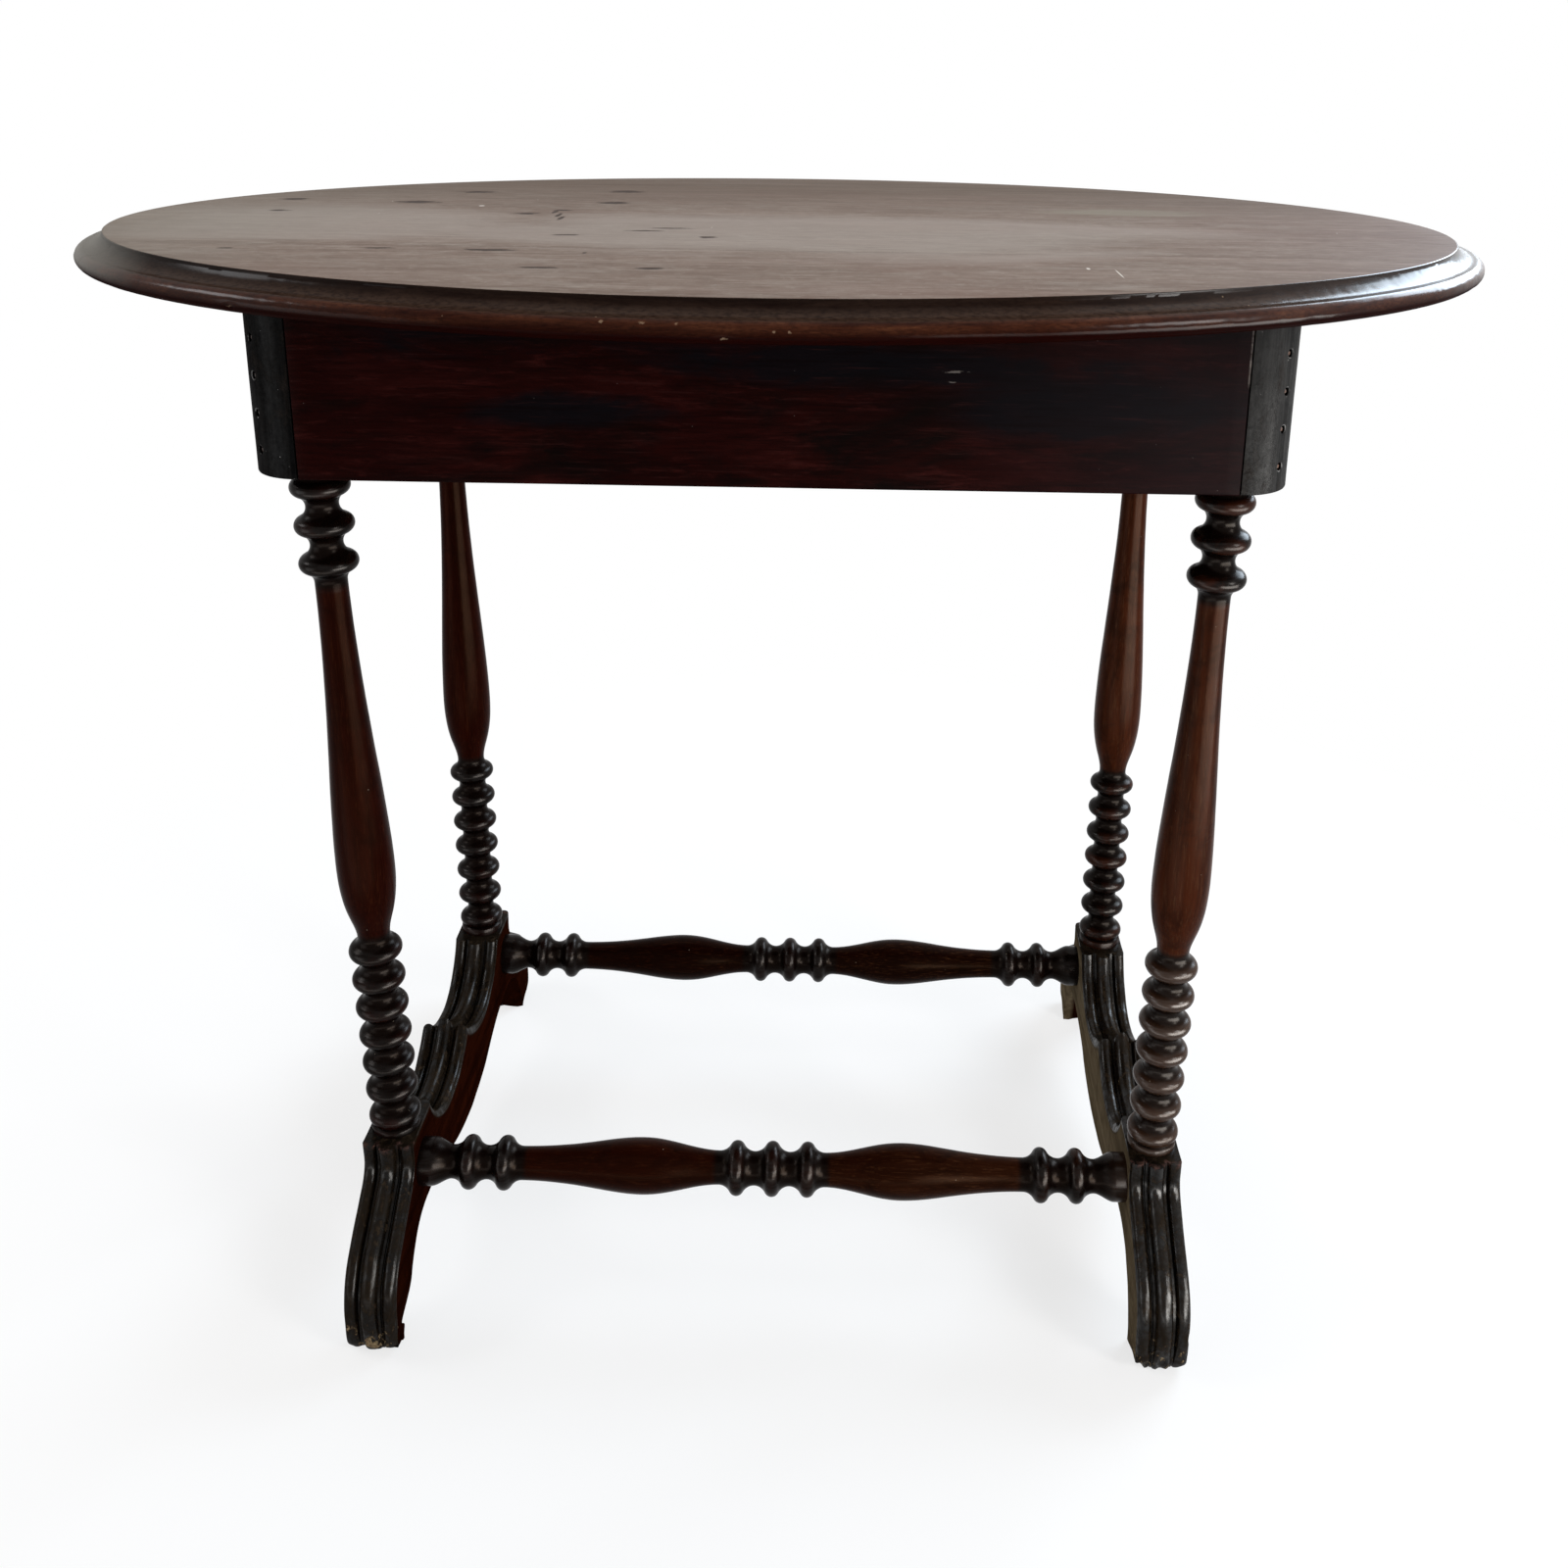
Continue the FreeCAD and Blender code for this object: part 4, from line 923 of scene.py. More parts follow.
def vase_run(stations, radii, steps=90):
    """The same rows over a smooth swelling through the given points, level at both ends."""
    count = len(stations)
    matrix = np.eye(count)
    target = np.zeros(count)
    for i in range(1, count - 1):
        before = stations[i] - stations[i - 1]
        after = stations[i + 1] - stations[i]
        matrix[i, i - 1 : i + 2] = (1 / before, 2 / before + 2 / after, 1 / after)
        rise = (radii[i] - radii[i - 1]) / before**2 + (radii[i + 1] - radii[i]) / after**2
        target[i] = 3 * rise
    slopes = np.linalg.solve(matrix, target)
    at = np.linspace(stations[0], stations[-1], steps)
    span = np.clip(np.searchsorted(stations, at, side="right") - 1, 0, count - 2)
    width = np.diff(stations)[span]
    t = (at - np.array(stations)[span]) / width
    radii = np.array(radii)
    radius = (
        (2 * t**3 - 3 * t**2 + 1) * radii[span]
        + (t**3 - 2 * t**2 + t) * width * slopes[span]
        + (3 * t**2 - 2 * t**3) * radii[span + 1]
        + (t**3 - t**2) * width * slopes[span + 1]
    )
    from_end = np.minimum(at - at[0], at[-1] - at)
    near_end = 1 - step_up(from_end, 0, 8)
    return np.stack([at, radius, near_end, 1 - step_up(from_end, 0, 5)], axis=-1)


def joined(runs):
    """Runs put end to end, without the stations that they share."""
    rows = np.concatenate(runs)
    keep = np.concatenate([[True], np.diff(rows[:, 0]) > 1e-4])
    return rows[keep]


def leg_rows():
    """The leg up its own axis from the trestle seat to the apron."""
    length = float(np.linalg.norm(np.subtract(LEG_HEAD, LEG_FOOT)))
    pitch, lower_ring, lower_neck = LOWER_SHAPE
    upper_pitch, upper_ring, upper_neck = UPPER_SHAPE
    lower = [LOWER_RING_MARGIN + pitch * i for i in range(LOWER_RINGS)]
    upper = [length - UPPER_RING_MARGIN - upper_pitch * i for i in reversed(range(UPPER_RINGS))]

    def quirk(ring):
        flat = LEG_QUIRK_RADIUS - ring + RING_NOSE_RADIUS
        return math.sqrt(RING_NOSE_RADIUS**2 - flat**2)

    low_quirk, high_quirk = quirk(lower_ring), quirk(upper_ring)
    collar = [
        (-SHOULDER_SPARE, LEG_COLLAR_RADIUS, 0.2, 1),
        (LEG_COLLAR_HEIGHT - LEG_COLLAR_EASE, LEG_COLLAR_RADIUS, 0.2, 1),
        (LEG_COLLAR_HEIGHT, LEG_COLLAR_RADIUS - 0.3, 0.3, 1),
    ]
    foot = collar + [(lower[0] - low_quirk, LEG_QUIRK_RADIUS, 1, 1)]
    head = [(upper[-1] + high_quirk, LEG_QUIRK_RADIUS, 1, 1)]
    head += [(length - station, *row) for station, *row in reversed(collar)]
    vase_foot = lower[-1] + pitch / 2
    vase_head = upper[0] - upper_pitch / 2
    shoulder_radius, shoulder_rise = VASE_SHOULDER
    neck_radius, neck_drop = VASE_NECK
    belly = vase_foot + VASE_BELLY_RISE
    neck = vase_head - neck_drop
    stations = (vase_foot, vase_foot + shoulder_rise, belly, (belly + neck) / 2, neck, vase_head)
    waist_radius = (VASE_RADIUS + neck_radius) / 2
    radii = (lower_neck, shoulder_radius, VASE_RADIUS, waist_radius, neck_radius, upper_neck)
    return joined(
        [
            np.array(foot, float),
            ring_run(lower[0], LOWER_SHAPE, -low_quirk + 0.05, pitch / 2),
            *[ring_run(middle, LOWER_SHAPE, -pitch / 2, pitch / 2, 40) for middle in lower[1:]],
            vase_run(stations, radii),
            *[ring_run(middle, UPPER_SHAPE, -upper_pitch / 2, upper_pitch / 2, 40) for middle in upper[:-1]],
            ring_run(upper[-1], UPPER_SHAPE, -upper_pitch / 2, high_quirk - 0.05),
            np.array(head, float),
        ]
    )


def stretcher_rows():
    """The stretcher from one trestle to the other."""
    pitch, ring, neck = STRETCHER_SHAPE
    outer = [STRETCHER_REACH - STRETCHER_END_MARGIN - pitch * i for i in range(STRETCHER_END_RINGS)]
    vase_foot = 1.5 * pitch
    vase_head = outer[-1] - pitch / 2
    belly = vase_foot + STRETCHER_VASE_RISE
    stations = (vase_foot, belly, (belly + vase_head) / 2, vase_head)
    bell = STRETCHER_REACH - STRETCHER_BELL_LENGTH
    flare = vase_run((outer[0] + pitch / 2, bell), (neck, STRETCHER_BELL_RADIUS), 24)
    flare[:, 2] = np.linspace(1, 0.2, 24)
    flare[:, 3] = 1
    half = joined(
        [
            ring_run(0, STRETCHER_SHAPE, 0, pitch / 2),
            ring_run(pitch, STRETCHER_SHAPE, -pitch / 2, pitch / 2, 40),
            vase_run(stations, (neck, ring, (ring + neck) / 2, neck)),
            *[ring_run(middle, STRETCHER_SHAPE, -pitch / 2, pitch / 2, 40) for middle in reversed(outer)],
            flare,
            np.array([(STRETCHER_REACH + SHOULDER_SPARE, STRETCHER_BELL_RADIUS, 0.3, 1)], float),
        ]
    )
    other = half[:0:-1] * (-1, 1, 1, 1)
    return np.concatenate([other, half])


def turning_tree():
    """Geometry Nodes that turn a pattern: each of its points is a station along the axis."""
    tree = bpy.data.node_groups.new("turning", "GeometryNodeTree")
    for label, way, kind in (
        ("Pattern", "INPUT", "NodeSocketGeometry"),
        ("Foot", "INPUT", "NodeSocketVector"),
        ("Head", "INPUT", "NodeSocketVector"),
        ("Facets", "INPUT", "NodeSocketInt"),
        ("Wobble", "INPUT", "NodeSocketFloat"),
        ("Seed", "INPUT", "NodeSocketFloat"),
        ("Finish", "INPUT", "NodeSocketMaterial"),
        ("Turning", "OUTPUT", "NodeSocketGeometry"),
    ):
        tree.interface.new_socket(label, in_out=way, socket_type=kind)
    add = partial(add_node, tree)

    def column(name):
        return add("GeometryNodeInputNamedAttribute", {"Name": name}, data_type="FLOAT").outputs[0]

    def vector(operation, sockets):
        return add("ShaderNodeVectorMath", sockets, operation=operation).outputs[0]

    given = add("NodeGroupInput").outputs
    axis = vector("NORMALIZE", {0: vector("SUBTRACT", {0: given["Head"], 1: given["Foot"]})})
    climb = vector("SCALE", {0: axis, "Scale": column("station")})
    curve = add("GeometryNodeMeshToCurve", {"Mesh": given["Pattern"]}).outputs[0]
    place = vector("ADD", {0: given["Foot"], 1: climb})
    line = add("GeometryNodeSetPosition", {"Geometry": curve, "Position": place}).outputs[0]
    sockets = {"Resolution": given["Facets"], "Radius": 1.0}
    circle = add("GeometryNodeCurvePrimitiveCircle", sockets).outputs[0]
    sockets = {"Curve": line, "Profile Curve": circle, "Scale": column("girth"), "Fill Caps": True}
    body = add("GeometryNodeCurveToMesh", sockets).outputs[0]
    sockets = {"Vector": add("GeometryNodeInputPosition").outputs[0], "W": given["Seed"]}
    sockets.update({"Scale": 45.0, "Detail": 2.0})
    rough = add("ShaderNodeTexNoise", sockets, noise_dimensions="4D").outputs[0]
    centred = add("ShaderNodeMath", {0: rough, 1: 0.5}, operation="SUBTRACT").outputs[0]
    swell = add("ShaderNodeMath", {0: centred, 1: given["Wobble"]}, operation="MULTIPLY").outputs[0]
    push = vector("SCALE", {0: add("GeometryNodeInputNormal").outputs[0], "Scale": swell})
    moved = add("GeometryNodeSetPosition", {"Geometry": body, "Offset": push}).outputs[0]
    whole = add("GeometryNodeRealizeInstances", {"Geometry": moved}).outputs[0]
    dressed = add("GeometryNodeSetMaterial", {"Geometry": whole, "Material": given["Finish"]}).outputs[0]
    add("NodeGroupOutput", {"Turning": dressed})
    return tree


def turned(name, tree, rows, foot, head, seed, finish):
    """One turning along the line from foot to head, as a plain mesh."""
    pattern = bpy.data.meshes.new(name)
    stations, girths, hollow, ringed = rows.T
    links = [(i, i + 1) for i in range(len(rows) - 1)]
    pattern.from_pydata([(0, 0, station * MM) for station in stations], links, [])
    columns = {"station": stations * MM, "girth": girths * MM, "hollow": hollow, "ringed": ringed}
    for label, values in columns.items():
        layer = pattern.attributes.new(label, "FLOAT", "POINT")
        layer.data.foreach_set("value", np.ascontiguousarray(values))
    blank = bpy.data.objects.new(name + "_blank", pattern)
    bpy.context.scene.collection.objects.link(blank)
    modifier = blank.modifiers.new("turning", "NODES")
    modifier.node_group = tree
    inputs = {
        "Foot": [c * MM for c in foot],
        "Head": [c * MM for c in head],
        "Facets": TURNING_FACETS,
        "Wobble": TURNING_WOBBLE * MM,
        "Seed": float(seed),
        "Finish": finish,
    }
    for socket in tree.interface.items_tree:
        if socket.in_out == "INPUT" and socket.name in inputs:
            modifier[socket.identifier] = inputs[socket.name]
    evaluated = blank.evaluated_get(bpy.context.evaluated_depsgraph_get())
    mesh = bpy.data.meshes.new_from_object(evaluated)
    blank.modifiers.remove(modifier)
    bpy.data.objects.remove(blank)
    finish_mesh(mesh, TURNING_SHARP_ANGLE)
    return piece_of(name, mesh, [finish])


def make_turnings():
    tree = turning_tree()
    red, brown = (0.0165, 0.002, 0.0008), (0.05, 0.011, 0.0035)
    front_red, front_brown = (0.015, 0.0024, 0.0009), (0.021, 0.006, 0.0022)
    # Painted shade: the rear stretcher's colours are darker because it stands in the table's shadow.
    shaded_rear_red, shaded_rear_brown = (0.0065, 0.001, 0.0005), (0.01, 0.0025, 0.0011)
    finishes = {
        "left": turned_polish("left_leg_polish", "z", red, brown, 0.014),
        "right": turned_polish("right_leg_polish", "z", red, brown, 0.025, (1.0, 0.8, 0.62)),
        "front": turned_polish("front_stretcher_polish", "x", front_red, front_brown, 0.022),
        "rear": turned_polish("rear_stretcher_shaded_polish", "x", shaded_rear_red, shaded_rear_brown, 0.022),
    }
    rows = leg_rows()
    seed = 1
    for end_name, end in ENDS:
        for side_name, side in SIDES:
            name = "leg_%s_%s" % (side_name, end_name)
            foot, head = [(end * x, side * y, z) for x, y, z in (LEG_FOOT, LEG_HEAD)]
            leg = turned(name + "_dressed", tree, rows, foot, head, seed, finishes[end_name])
            seat(leg, "leg_wood", name)
            seed += 1
    rows = stretcher_rows()
    for side_name, side in SIDES:
        name = "stretcher_" + side_name
        middle, beyond = [(x, side * STRETCHER_Y, STRETCHER_Z) for x in (0, 1)]
        stretcher = turned(name + "_dressed", tree, rows, middle, beyond, seed, finishes[side_name])
        seat(stretcher, "stretcher_wood", name)
        seed += 1


# Trestle feet


def reed_section():
    """(x, height over the edge, hollow mark) across the upper edge: three reeds, grooves between."""
    rows = [(-TRESTLE_HALF, -0.3, 0.0), (-TRESTLE_HALF + 0.3, 0.0, 0.6)]
    for angle in np.linspace(math.pi, 0, 17):
        height = SIDE_REED_HEIGHT * math.sin(angle)
        deep = 1 - float(step_up(height, 0, 2.2))
        rows.append((-SIDE_REED_X + SIDE_REED_HALF * math.cos(angle), height, deep))
    rows += [(-FILLET_X - 0.3, 0.1, 1.0), (-FILLET_X, CENTRE_REED_RAISE - 0.2, 0.5)]
    for angle in np.linspace(math.pi, math.pi / 2, 13):
        height = CENTRE_REED_HEIGHT * math.sin(angle)
        deep = 0.8 * (1 - float(step_up(height, 0, 1.6)))
        rows.append((CENTRE_REED_HALF * math.cos(angle), CENTRE_REED_RAISE + height, deep))
    rows += [(-x, height, deep) for x, height, deep in reversed(rows[:-1])]
    return np.array(rows)


def arc_radius(reach, climb):
    """Radius of an arc that is level at its foot and climbs so far over a reach."""
    return (reach**2 + climb**2) / (2 * climb)


CREST_STEPS = 34
RISE_STEPS = 40
SEAT_SHARES = (0.02, 0.1, 0.25, 0.5, 0.75, 0.9, 0.98)
POINTS_TO_SEAT = CREST_STEPS - 1 + RISE_STEPS + len(SEAT_SHARES)


def upper_line(rise):
    """(y, z) down the upper edge from the crest to the floor at the toe, raised off the wood."""
    crest_radius = arc_radius(VALLEY_Y, CREST_HEIGHT - VALLEY_HEIGHT)
    seat_radius = arc_radius(SEAT_BACK - VALLEY_Y, SEAT_HEIGHT - VALLEY_HEIGHT)

    def valley_arc(radius, angles):
        reach, middle = radius - rise, VALLEY_HEIGHT + radius
        return [(VALLEY_Y + reach * math.sin(angle), middle - reach * math.cos(angle)) for angle in angles]

    start = math.asin(VALLEY_Y / (crest_radius - rise))
    stop = math.acos((VALLEY_HEIGHT + seat_radius - SEAT_HEIGHT) / (seat_radius - rise))
    line = valley_arc(crest_radius, np.linspace(-start, 0, CREST_STEPS)[:-1])
    line += valley_arc(seat_radius, np.linspace(0, stop, RISE_STEPS))
    back = line[-1][0]
    front = SEAT_FRONT + rise
    line += [(back + (front - back) * t, SEAT_HEIGHT) for t in SEAT_SHARES]
    line += [(front, SEAT_HEIGHT - FOOT_DROP * t) for t in (0.0, 0.05, 0.25, 0.5, 0.75)]
    hollow = np.array([SEAT_FRONT + FOOT_HOLLOW_RADIUS, SEAT_HEIGHT - FOOT_DROP])
    bend = math.radians(90.0 - FOOT_SLOPE)
    for angle in np.linspace(math.pi, math.pi + bend, 26):
        spoke = np.array([math.cos(angle), math.sin(angle)])
        line.append(tuple(hollow + (FOOT_HOLLOW_RADIUS - rise) * spoke))
    slope = math.radians(FOOT_SLOPE)
    forward = np.array([math.cos(slope), -math.sin(slope)])
    square = np.array([math.sin(slope), math.cos(slope)])
    slope_start = hollow - FOOT_HOLLOW_RADIUS * square
    round_y = TOE_Y - FOOT_ROUND_RADIUS + FOOT_ROUND_RADIUS * square[0]
    round_top = slope_start + forward * (round_y - slope_start[0]) / forward[0]
    round_centre = round_top - square * FOOT_ROUND_RADIUS
    begin = np.array(line[-1])
    end = round_centre + square * (FOOT_ROUND_RADIUS + rise)
    line += [tuple(begin + (end - begin) * t) for t in np.linspace(0, 1, 12)[1:-1]]
    tuck = math.radians(TOE_TUCK)
    for angle in np.linspace(math.pi / 2 - slope, -tuck, 44):
        spoke = np.array([math.cos(angle), math.sin(angle)])
        line.append(tuple(round_centre + (FOOT_ROUND_RADIUS + rise) * spoke))
    last = np.array(line[-1])
    floor = last - np.array([math.tan(tuck), 1.0]) * last[1]
    line += [tuple(last + (floor - last) * t) for t in np.linspace(0, 1, 14)[1:]]
    return np.array(line)


def lower_line():
    """(y, z) along the underside from the middle, up over the arch, to the heel on the floor."""
    sweep = arc_radius(SEAT_MIDDLE / 2, (ARCH_HEIGHT - DROP_HEIGHT) / 2)
    heel = arc_radius(HEEL_Y - SEAT_MIDDLE, ARCH_HEIGHT)
    turn = math.asin(SEAT_MIDDLE / 2 / sweep)
    line = []
    for angle in np.linspace(0, turn, 40):
        line.append((sweep * math.sin(angle), DROP_HEIGHT + sweep * (1 - math.cos(angle))))
    for angle in np.linspace(turn, 0, 40)[1:]:
        line.append((SEAT_MIDDLE - sweep * math.sin(angle), ARCH_HEIGHT - sweep * (1 - math.cos(angle))))
    fall = math.atan2(HEEL_Y - SEAT_MIDDLE, heel - ARCH_HEIGHT)
    arch = len(line) - 1
    for angle in np.linspace(0, fall, 60)[1:]:
        line.append((SEAT_MIDDLE + heel * math.sin(angle), ARCH_HEIGHT - heel * (1 - math.cos(angle))))
    return np.array(line), arch


def travelled(line):
    return np.concatenate([[0], np.cumsum(np.linalg.norm(np.diff(line, axis=0), axis=1))])


def matched(upper, lower, arch):
    """A point of the underside for each point of the upper edge: middle, arch and heel opposite
    the crest, the seat and the toe."""
    way = travelled(upper)
    seat_way = np.interp(SEAT_MIDDLE, upper[:POINTS_TO_SEAT, 0], way[:POINTS_TO_SEAT])
    under = travelled(lower)
    target = np.interp(way, [0, seat_way, way[-1]], [0, under[arch], under[-1]])
    return np.stack([np.interp(target, under, lower[:, axis]) for axis in (0, 1)], axis=-1)


def half_trestle_rings():
    """Rings down one half of a trestle, with the marks of its grooves, flat faces and worn rims."""
    section = reed_section()
    edges = np.stack([upper_line(rise) for rise in section[:, 1]], axis=1)
    blunt = 0.65 * (1 - step_up(edges[..., 1], 3, 30))
    edges[..., 0] += blunt * (upper_line(3.2)[:, None, 0] - edges[..., 0])
    edges[..., 0] -= 5.0 * np.clip(1 - edges[..., 1] / 11.0, 0, 1) ** 2 * (edges[..., 0] > HEEL_Y)
    upper = upper_line(0.0)
    lower = matched(upper, *lower_line())
    steps = np.linspace(1, 0, 13)[1:]
    ease = 0.5
    rings, hollow, face, rim = [], [], [], []
    for row in range(len(upper)):
        top = np.column_stack([section[:, 0], edges[row]])
        brink = edges[row][-1]
        down = [(TRESTLE_HALF, *(lower[row] + (brink - lower[row]) * t)) for t in steps[:-1]]
        down.append((TRESTLE_HALF, *(lower[row] + (brink - lower[row]) * 0.012)))
        under = [(x, *lower[row]) for x in np.linspace(TRESTLE_HALF - ease, -TRESTLE_HALF + ease, 9)]
        up = [(-x, y, z) for x, y, z in reversed(down)]
        rings.append(np.concatenate([top, down, under, up]))
        plain = len(down) + len(under) + len(up)
        hollow.append(np.concatenate([section[:, 2], np.zeros(plain)]))
        face.append(np.concatenate([np.zeros(len(section)), np.ones(plain)]))
        from_brink = np.hypot(edges[row, :, 0] - SEAT_FRONT - section[:, 1], edges[row, :, 1] - SEAT_HEIGHT)
        rim.append(np.concatenate([1 - step_up(from_brink, 0.8, 3.0), np.zeros(plain)]))
    return [np.array(part) for part in (rings, hollow, face, rim)]


def worn_foot(points, face, end):
    """The points of a trestle gnawed at the toes and rounded at the heels, and how bare they are; the
    left one has its front heel broken."""
    worn = points.copy()
    seed = 41 if end < 0 else 42
    away = np.sign(worn[..., 1])
    # Gnawed toes and uneven faces
    toe = step_up(np.abs(worn[..., 1]), 178, 205) * (1 - step_up(worn[..., 2], 14, 44))
    gnawed = step_up(lumps(worn, 7.0, seed), 0.05, 0.8) * toe
    worn[..., 1] -= away * 2.2 * gnawed
    worn[..., 0] *= 1 - 0.03 * gnawed
    worn[..., 1] += 0.25 * lumps(worn, 12.0, seed + 4)
    worn[..., 0] += 0.2 * lumps(worn, 15.0, seed + 8)
    # Heels and soles
    back = np.clip((TOE_Y - np.abs(worn[..., 1])) / (TOE_Y - HEEL_Y), 0, 1.2)
    heel = (1 - step_up(worn[..., 2], 2, 18)) * face * back
    worn[..., 1] += away * heel * (2.0 + 2.5 * lumps(worn, 6.0, seed + 12))
    sole = toe * (1 - step_up(worn[..., 2], 0, 9)) * (np.abs(worn[..., 1]) < TOE_Y + 9)
    round_off = 5.0 * np.abs(worn[..., 0] / np.abs(points[..., 0]).max()) ** 3
    worn[..., 2] += sole * np.maximum(0, round_off + 2.4 * lumps(worn, 9.0, seed + 20))
    worn[..., 0] *= 1 - 0.1 * toe * np.clip(1 - worn[..., 2] / 18.0, 0, 1) ** 2
    bare = 0.42 * toe + 0.3 * gnawed
    # The broken heel, and the bare patch on the toe in front of it
    if end < 0:
        front = worn[..., 1] < 0
        broken = np.where(front, (1 - step_up(worn[..., 2], 14, 30)) * face * back, 0)
        worn[..., 1] -= broken * (17.0 + 7.0 * lumps(worn, 9.0, seed + 16))
        patch = np.exp(-(((worn[..., 0] - 2) / 7) ** 2) - ((worn[..., 2] - 13) / 9) ** 2)
        bare = np.maximum(bare, np.where(front & (face < 0.5), 1.3 * patch * toe, 0))
    return worn, np.clip(bare, 0, 1)


def make_trestles():
    pale, pale_dark = (0.14, 0.107, 0.066), (0.06, 0.042, 0.024)
    finishes = {
        "left": trestle_polish("left_trestle_polish", DARK_STAIN, (0.005, 0.0009, 0.0004), 0.34),
        "right": trestle_polish("right_trestle_polish", pale, pale_dark, 0.65),
    }
    half, *half_marks = half_trestle_rings()
    rings = np.concatenate([half[:0:-1] * (1, -1, 1), half])
    hollow, face, rim = [np.concatenate([mark[:0:-1], mark]) for mark in half_marks]
    for name, end in ENDS:
        worn, bare = worn_foot(rings, face, end)
        worn[..., 0] += end * TRESTLE_X
        marks = {"hollow": hollow, "flat_face": face, "rim": rim, "bare": bare}
        mesh = skinned("trestle_%s_dressed" % name, worn, TRESTLE_SHARP_ANGLE, **marks)
        seat(piece_of(mesh.name, mesh, [finishes[name]]), "trestle_wood", "trestle_" + name)


# Hidden pieces keep the frame's shape


def dress_hidden():
    inner = raw_wood("sawn_inner_wood", (26, 26, 5), (0.16, 0.1, 0.06), (0.07, 0.04, 0.024))
    iron = old_iron()
    for name in ("bearer_left", "bearer_right", "corner_blocks", "glue_blocks", "corner_nails"):
        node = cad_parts[name]
        finish = iron if name == "corner_nails" else inner
        if not node.data.materials:
            node.data.materials.append(finish)
        for place in node.material_slots:
            place.material = finish


# Studio, in metres


LAMPS = (  # name, place, aim, width and height, watts, colour
    ("window", (2.09, 1.73, 1.78), (0.3, -0.1, 0.6), (1.7, 1.2), 105, (0.74, 0.87, 1.0)),
    ("right", (2.0, -1.5, 1.4), (0.2, 0, 0.4), (0.6, 0.9), 36, (1.0, 0.98, 0.96)),
    ("ceiling", (0.1, 0.3, 2.9), (0, 0, 0), (2.6, 2.2), 25, (1.0, 0.98, 0.95)),
    ("left", (-2.25, -0.05, 1.85), (0, 0, 0.45), (0.8, 0.6), 18, (0.97, 0.98, 1.0)),
)
SHINE_CARDS = (  # the same for cards that show only in the polish
    ("right_card", (0.85, -0.8, 0.23), (0, 0, 0.3), (1.25, 0.46), 42, (1.0, 0.98, 0.94)),
    ("left_card", (-1.3, -0.8, 0.4), (0.1, -0.1, 0.2), (0.8, 0.7), 6, (0.96, 0.98, 1.0)),
    ("floor_card", (-0.35, -0.75, 0.01), (-0.35, -0.74, 1), (1.2, 0.5), 9, (1.0, 0.96, 0.92)),
)
FLOOR_REACH = 9.0
SOFT_LIGHT = 0.35
CAMERA_PLACE = (0.053443, -1.045625, 0.850262)
CAMERA_YAW, CAMERA_PITCH, CAMERA_ROLL = 0.015554956, -0.303216573, 0.01265342
PICTURE_SIZE = 1600  # pixels, as are the two below
FOCAL_LENGTH = 1593.395
PICTURE_CENTRE = (853.021, 538.023)
SENSOR_WIDTH = 36.0


def seen_directly(tree):
    """1 for what the camera sees, straight or in a shine, and 0 for light that falls on things."""
    path = add_node(tree, "ShaderNodeLightPath").outputs
    total = path["Is Camera Ray"]
    for other in ("Is Glossy Ray", "Is Transmission Ray"):
        total = add_node(tree, "ShaderNodeMath", {0: total, 1: path[other]}, operation="MAXIMUM").outputs[0]
    return total


def make_floor():
    """A pale floor that keeps the table's shadow and runs out into white."""
    mesh = bpy.data.meshes.new("floor")
    corners = [(-1, -1), (1, -1), (1, 1), (-1, 1)]
    mesh.from_pydata([(x * FLOOR_REACH, y * FLOOR_REACH, 0) for x, y in corners], [], [(0, 1, 2, 3)])
    f = Finish("pale_floor", specular=0.0)
    f.shader.inputs["Base Color"].default_value = (0.86, 0.86, 0.86, 1)
    f.shader.inputs["Roughness"].default_value = 0.9
    away = f.add("ShaderNodeVectorMath", {0: f.place}, operation="LENGTH").outputs["Value"]
    share = f.times(f.between(away, 0.3, 1.0, 0.72, 1.0), seen_directly(f.tree))
    white = f.add("ShaderNodeEmission").outputs[0]
    mix = f.add("ShaderNodeMixShader", {"Fac": share, 1: f.shader.outputs[0], 2: white}).outputs[0]
    f.tree.links.new(mix, f.tree.nodes["Material Output"].inputs["Surface"])
    piece_of("floor", mesh, [f.material])


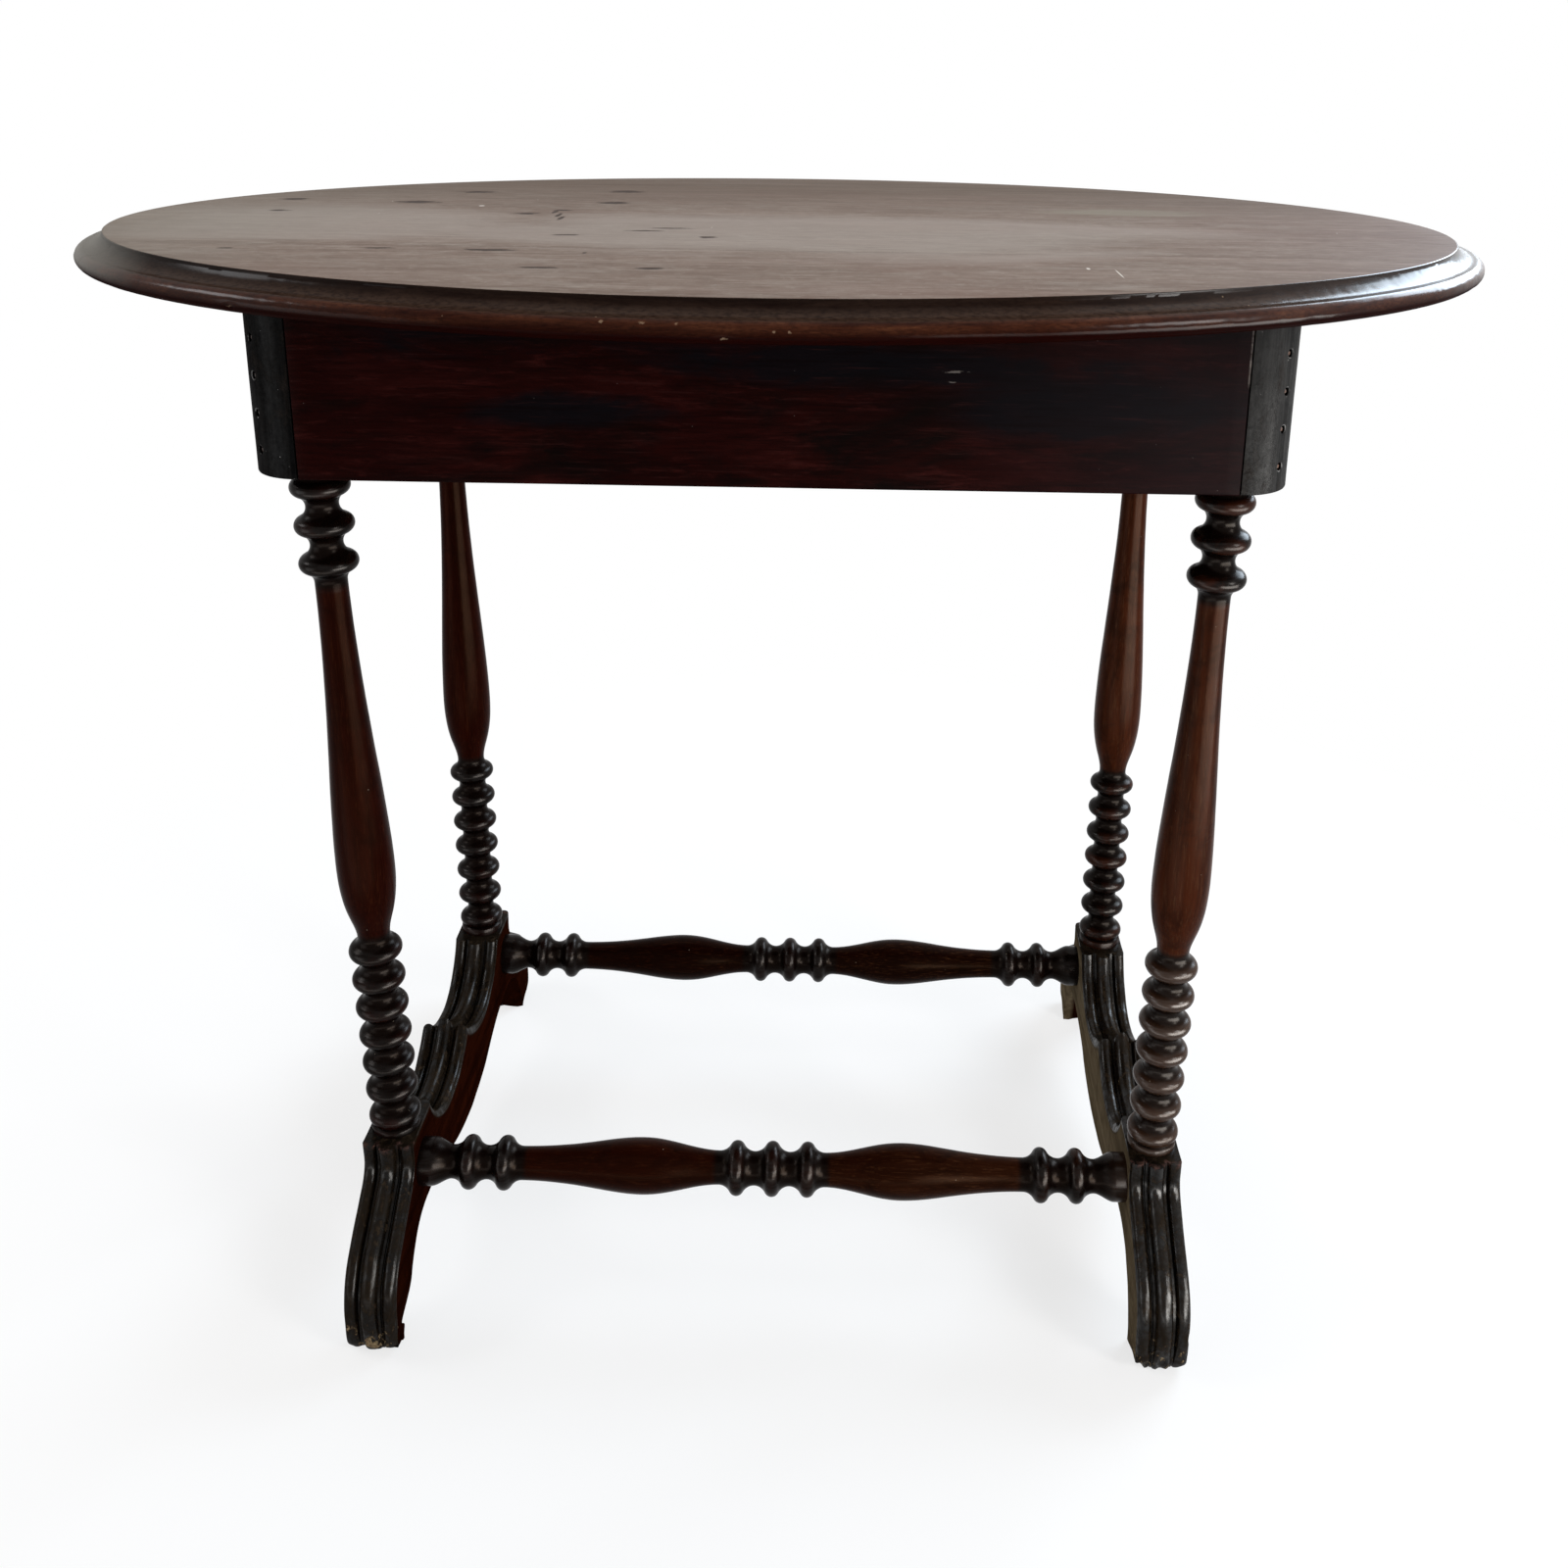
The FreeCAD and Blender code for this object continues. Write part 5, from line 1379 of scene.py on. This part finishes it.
def make_world():
    """White to look at, but a softer light on the table."""
    world = bpy.data.worlds.new("studio")
    bpy.context.scene.world = world
    world.use_nodes = True
    tree = world.node_tree
    tree.nodes.clear()
    soft, white = [
        add_node(tree, "ShaderNodeBackground", {"Color": (1, 1, 1, 1), "Strength": strength}).outputs[0]
        for strength in (SOFT_LIGHT, 1.0)
    ]
    mix = add_node(tree, "ShaderNodeMixShader", {"Fac": seen_directly(tree), 1: soft, 2: white})
    add_node(tree, "ShaderNodeOutputWorld", {"Surface": mix.outputs[0]})


def make_lamp(name, place, aim, size, watts, colour):
    lamp = bpy.data.lights.new(name, "AREA")
    lamp.shape = "RECTANGLE"
    lamp.size, lamp.size_y = size
    lamp.energy = watts
    lamp.color = colour
    holder = bpy.data.objects.new(name, lamp)
    holder.location = place
    holder.rotation_euler = (Vector(aim) - Vector(place)).to_track_quat("-Z", "Y").to_euler()
    holder.visible_camera = False
    bpy.context.scene.collection.objects.link(holder)
    return holder


def make_lights():
    for lamp in LAMPS:
        make_lamp(*lamp)
    for card in SHINE_CARDS:
        make_lamp(*card).visible_diffuse = False


def make_camera():
    yaw, pitch, roll = CAMERA_YAW, CAMERA_PITCH, CAMERA_ROLL
    ahead = math.cos(pitch)
    forward = Vector((-math.sin(yaw) * ahead, math.cos(yaw) * ahead, math.sin(pitch)))
    level = Vector((math.cos(yaw), math.sin(yaw), 0))
    upward = level.cross(forward)
    right = level * math.cos(roll) + upward * math.sin(roll)
    up = upward * math.cos(roll) - level * math.sin(roll)
    data = bpy.data.cameras.new("camera")
    data.sensor_width = SENSOR_WIDTH
    data.lens = FOCAL_LENGTH / PICTURE_SIZE * SENSOR_WIDTH
    data.shift_x = (PICTURE_SIZE / 2 - PICTURE_CENTRE[0]) / PICTURE_SIZE
    data.shift_y = (PICTURE_CENTRE[1] - PICTURE_SIZE / 2) / PICTURE_SIZE
    data.clip_start = 0.05
    camera = bpy.data.objects.new("camera", data)
    turn = Matrix((right, up, -forward)).transposed().to_4x4()
    camera.matrix_world = Matrix.Translation(CAMERA_PLACE) @ turn
    bpy.context.scene.collection.objects.link(camera)
    bpy.context.scene.camera = camera


make_top()
make_apron()
make_turnings()
make_trestles()
dress_hidden()
make_floor()
make_world()
make_lights()
make_camera()
bpy.context.scene.view_settings.view_transform = "Standard"
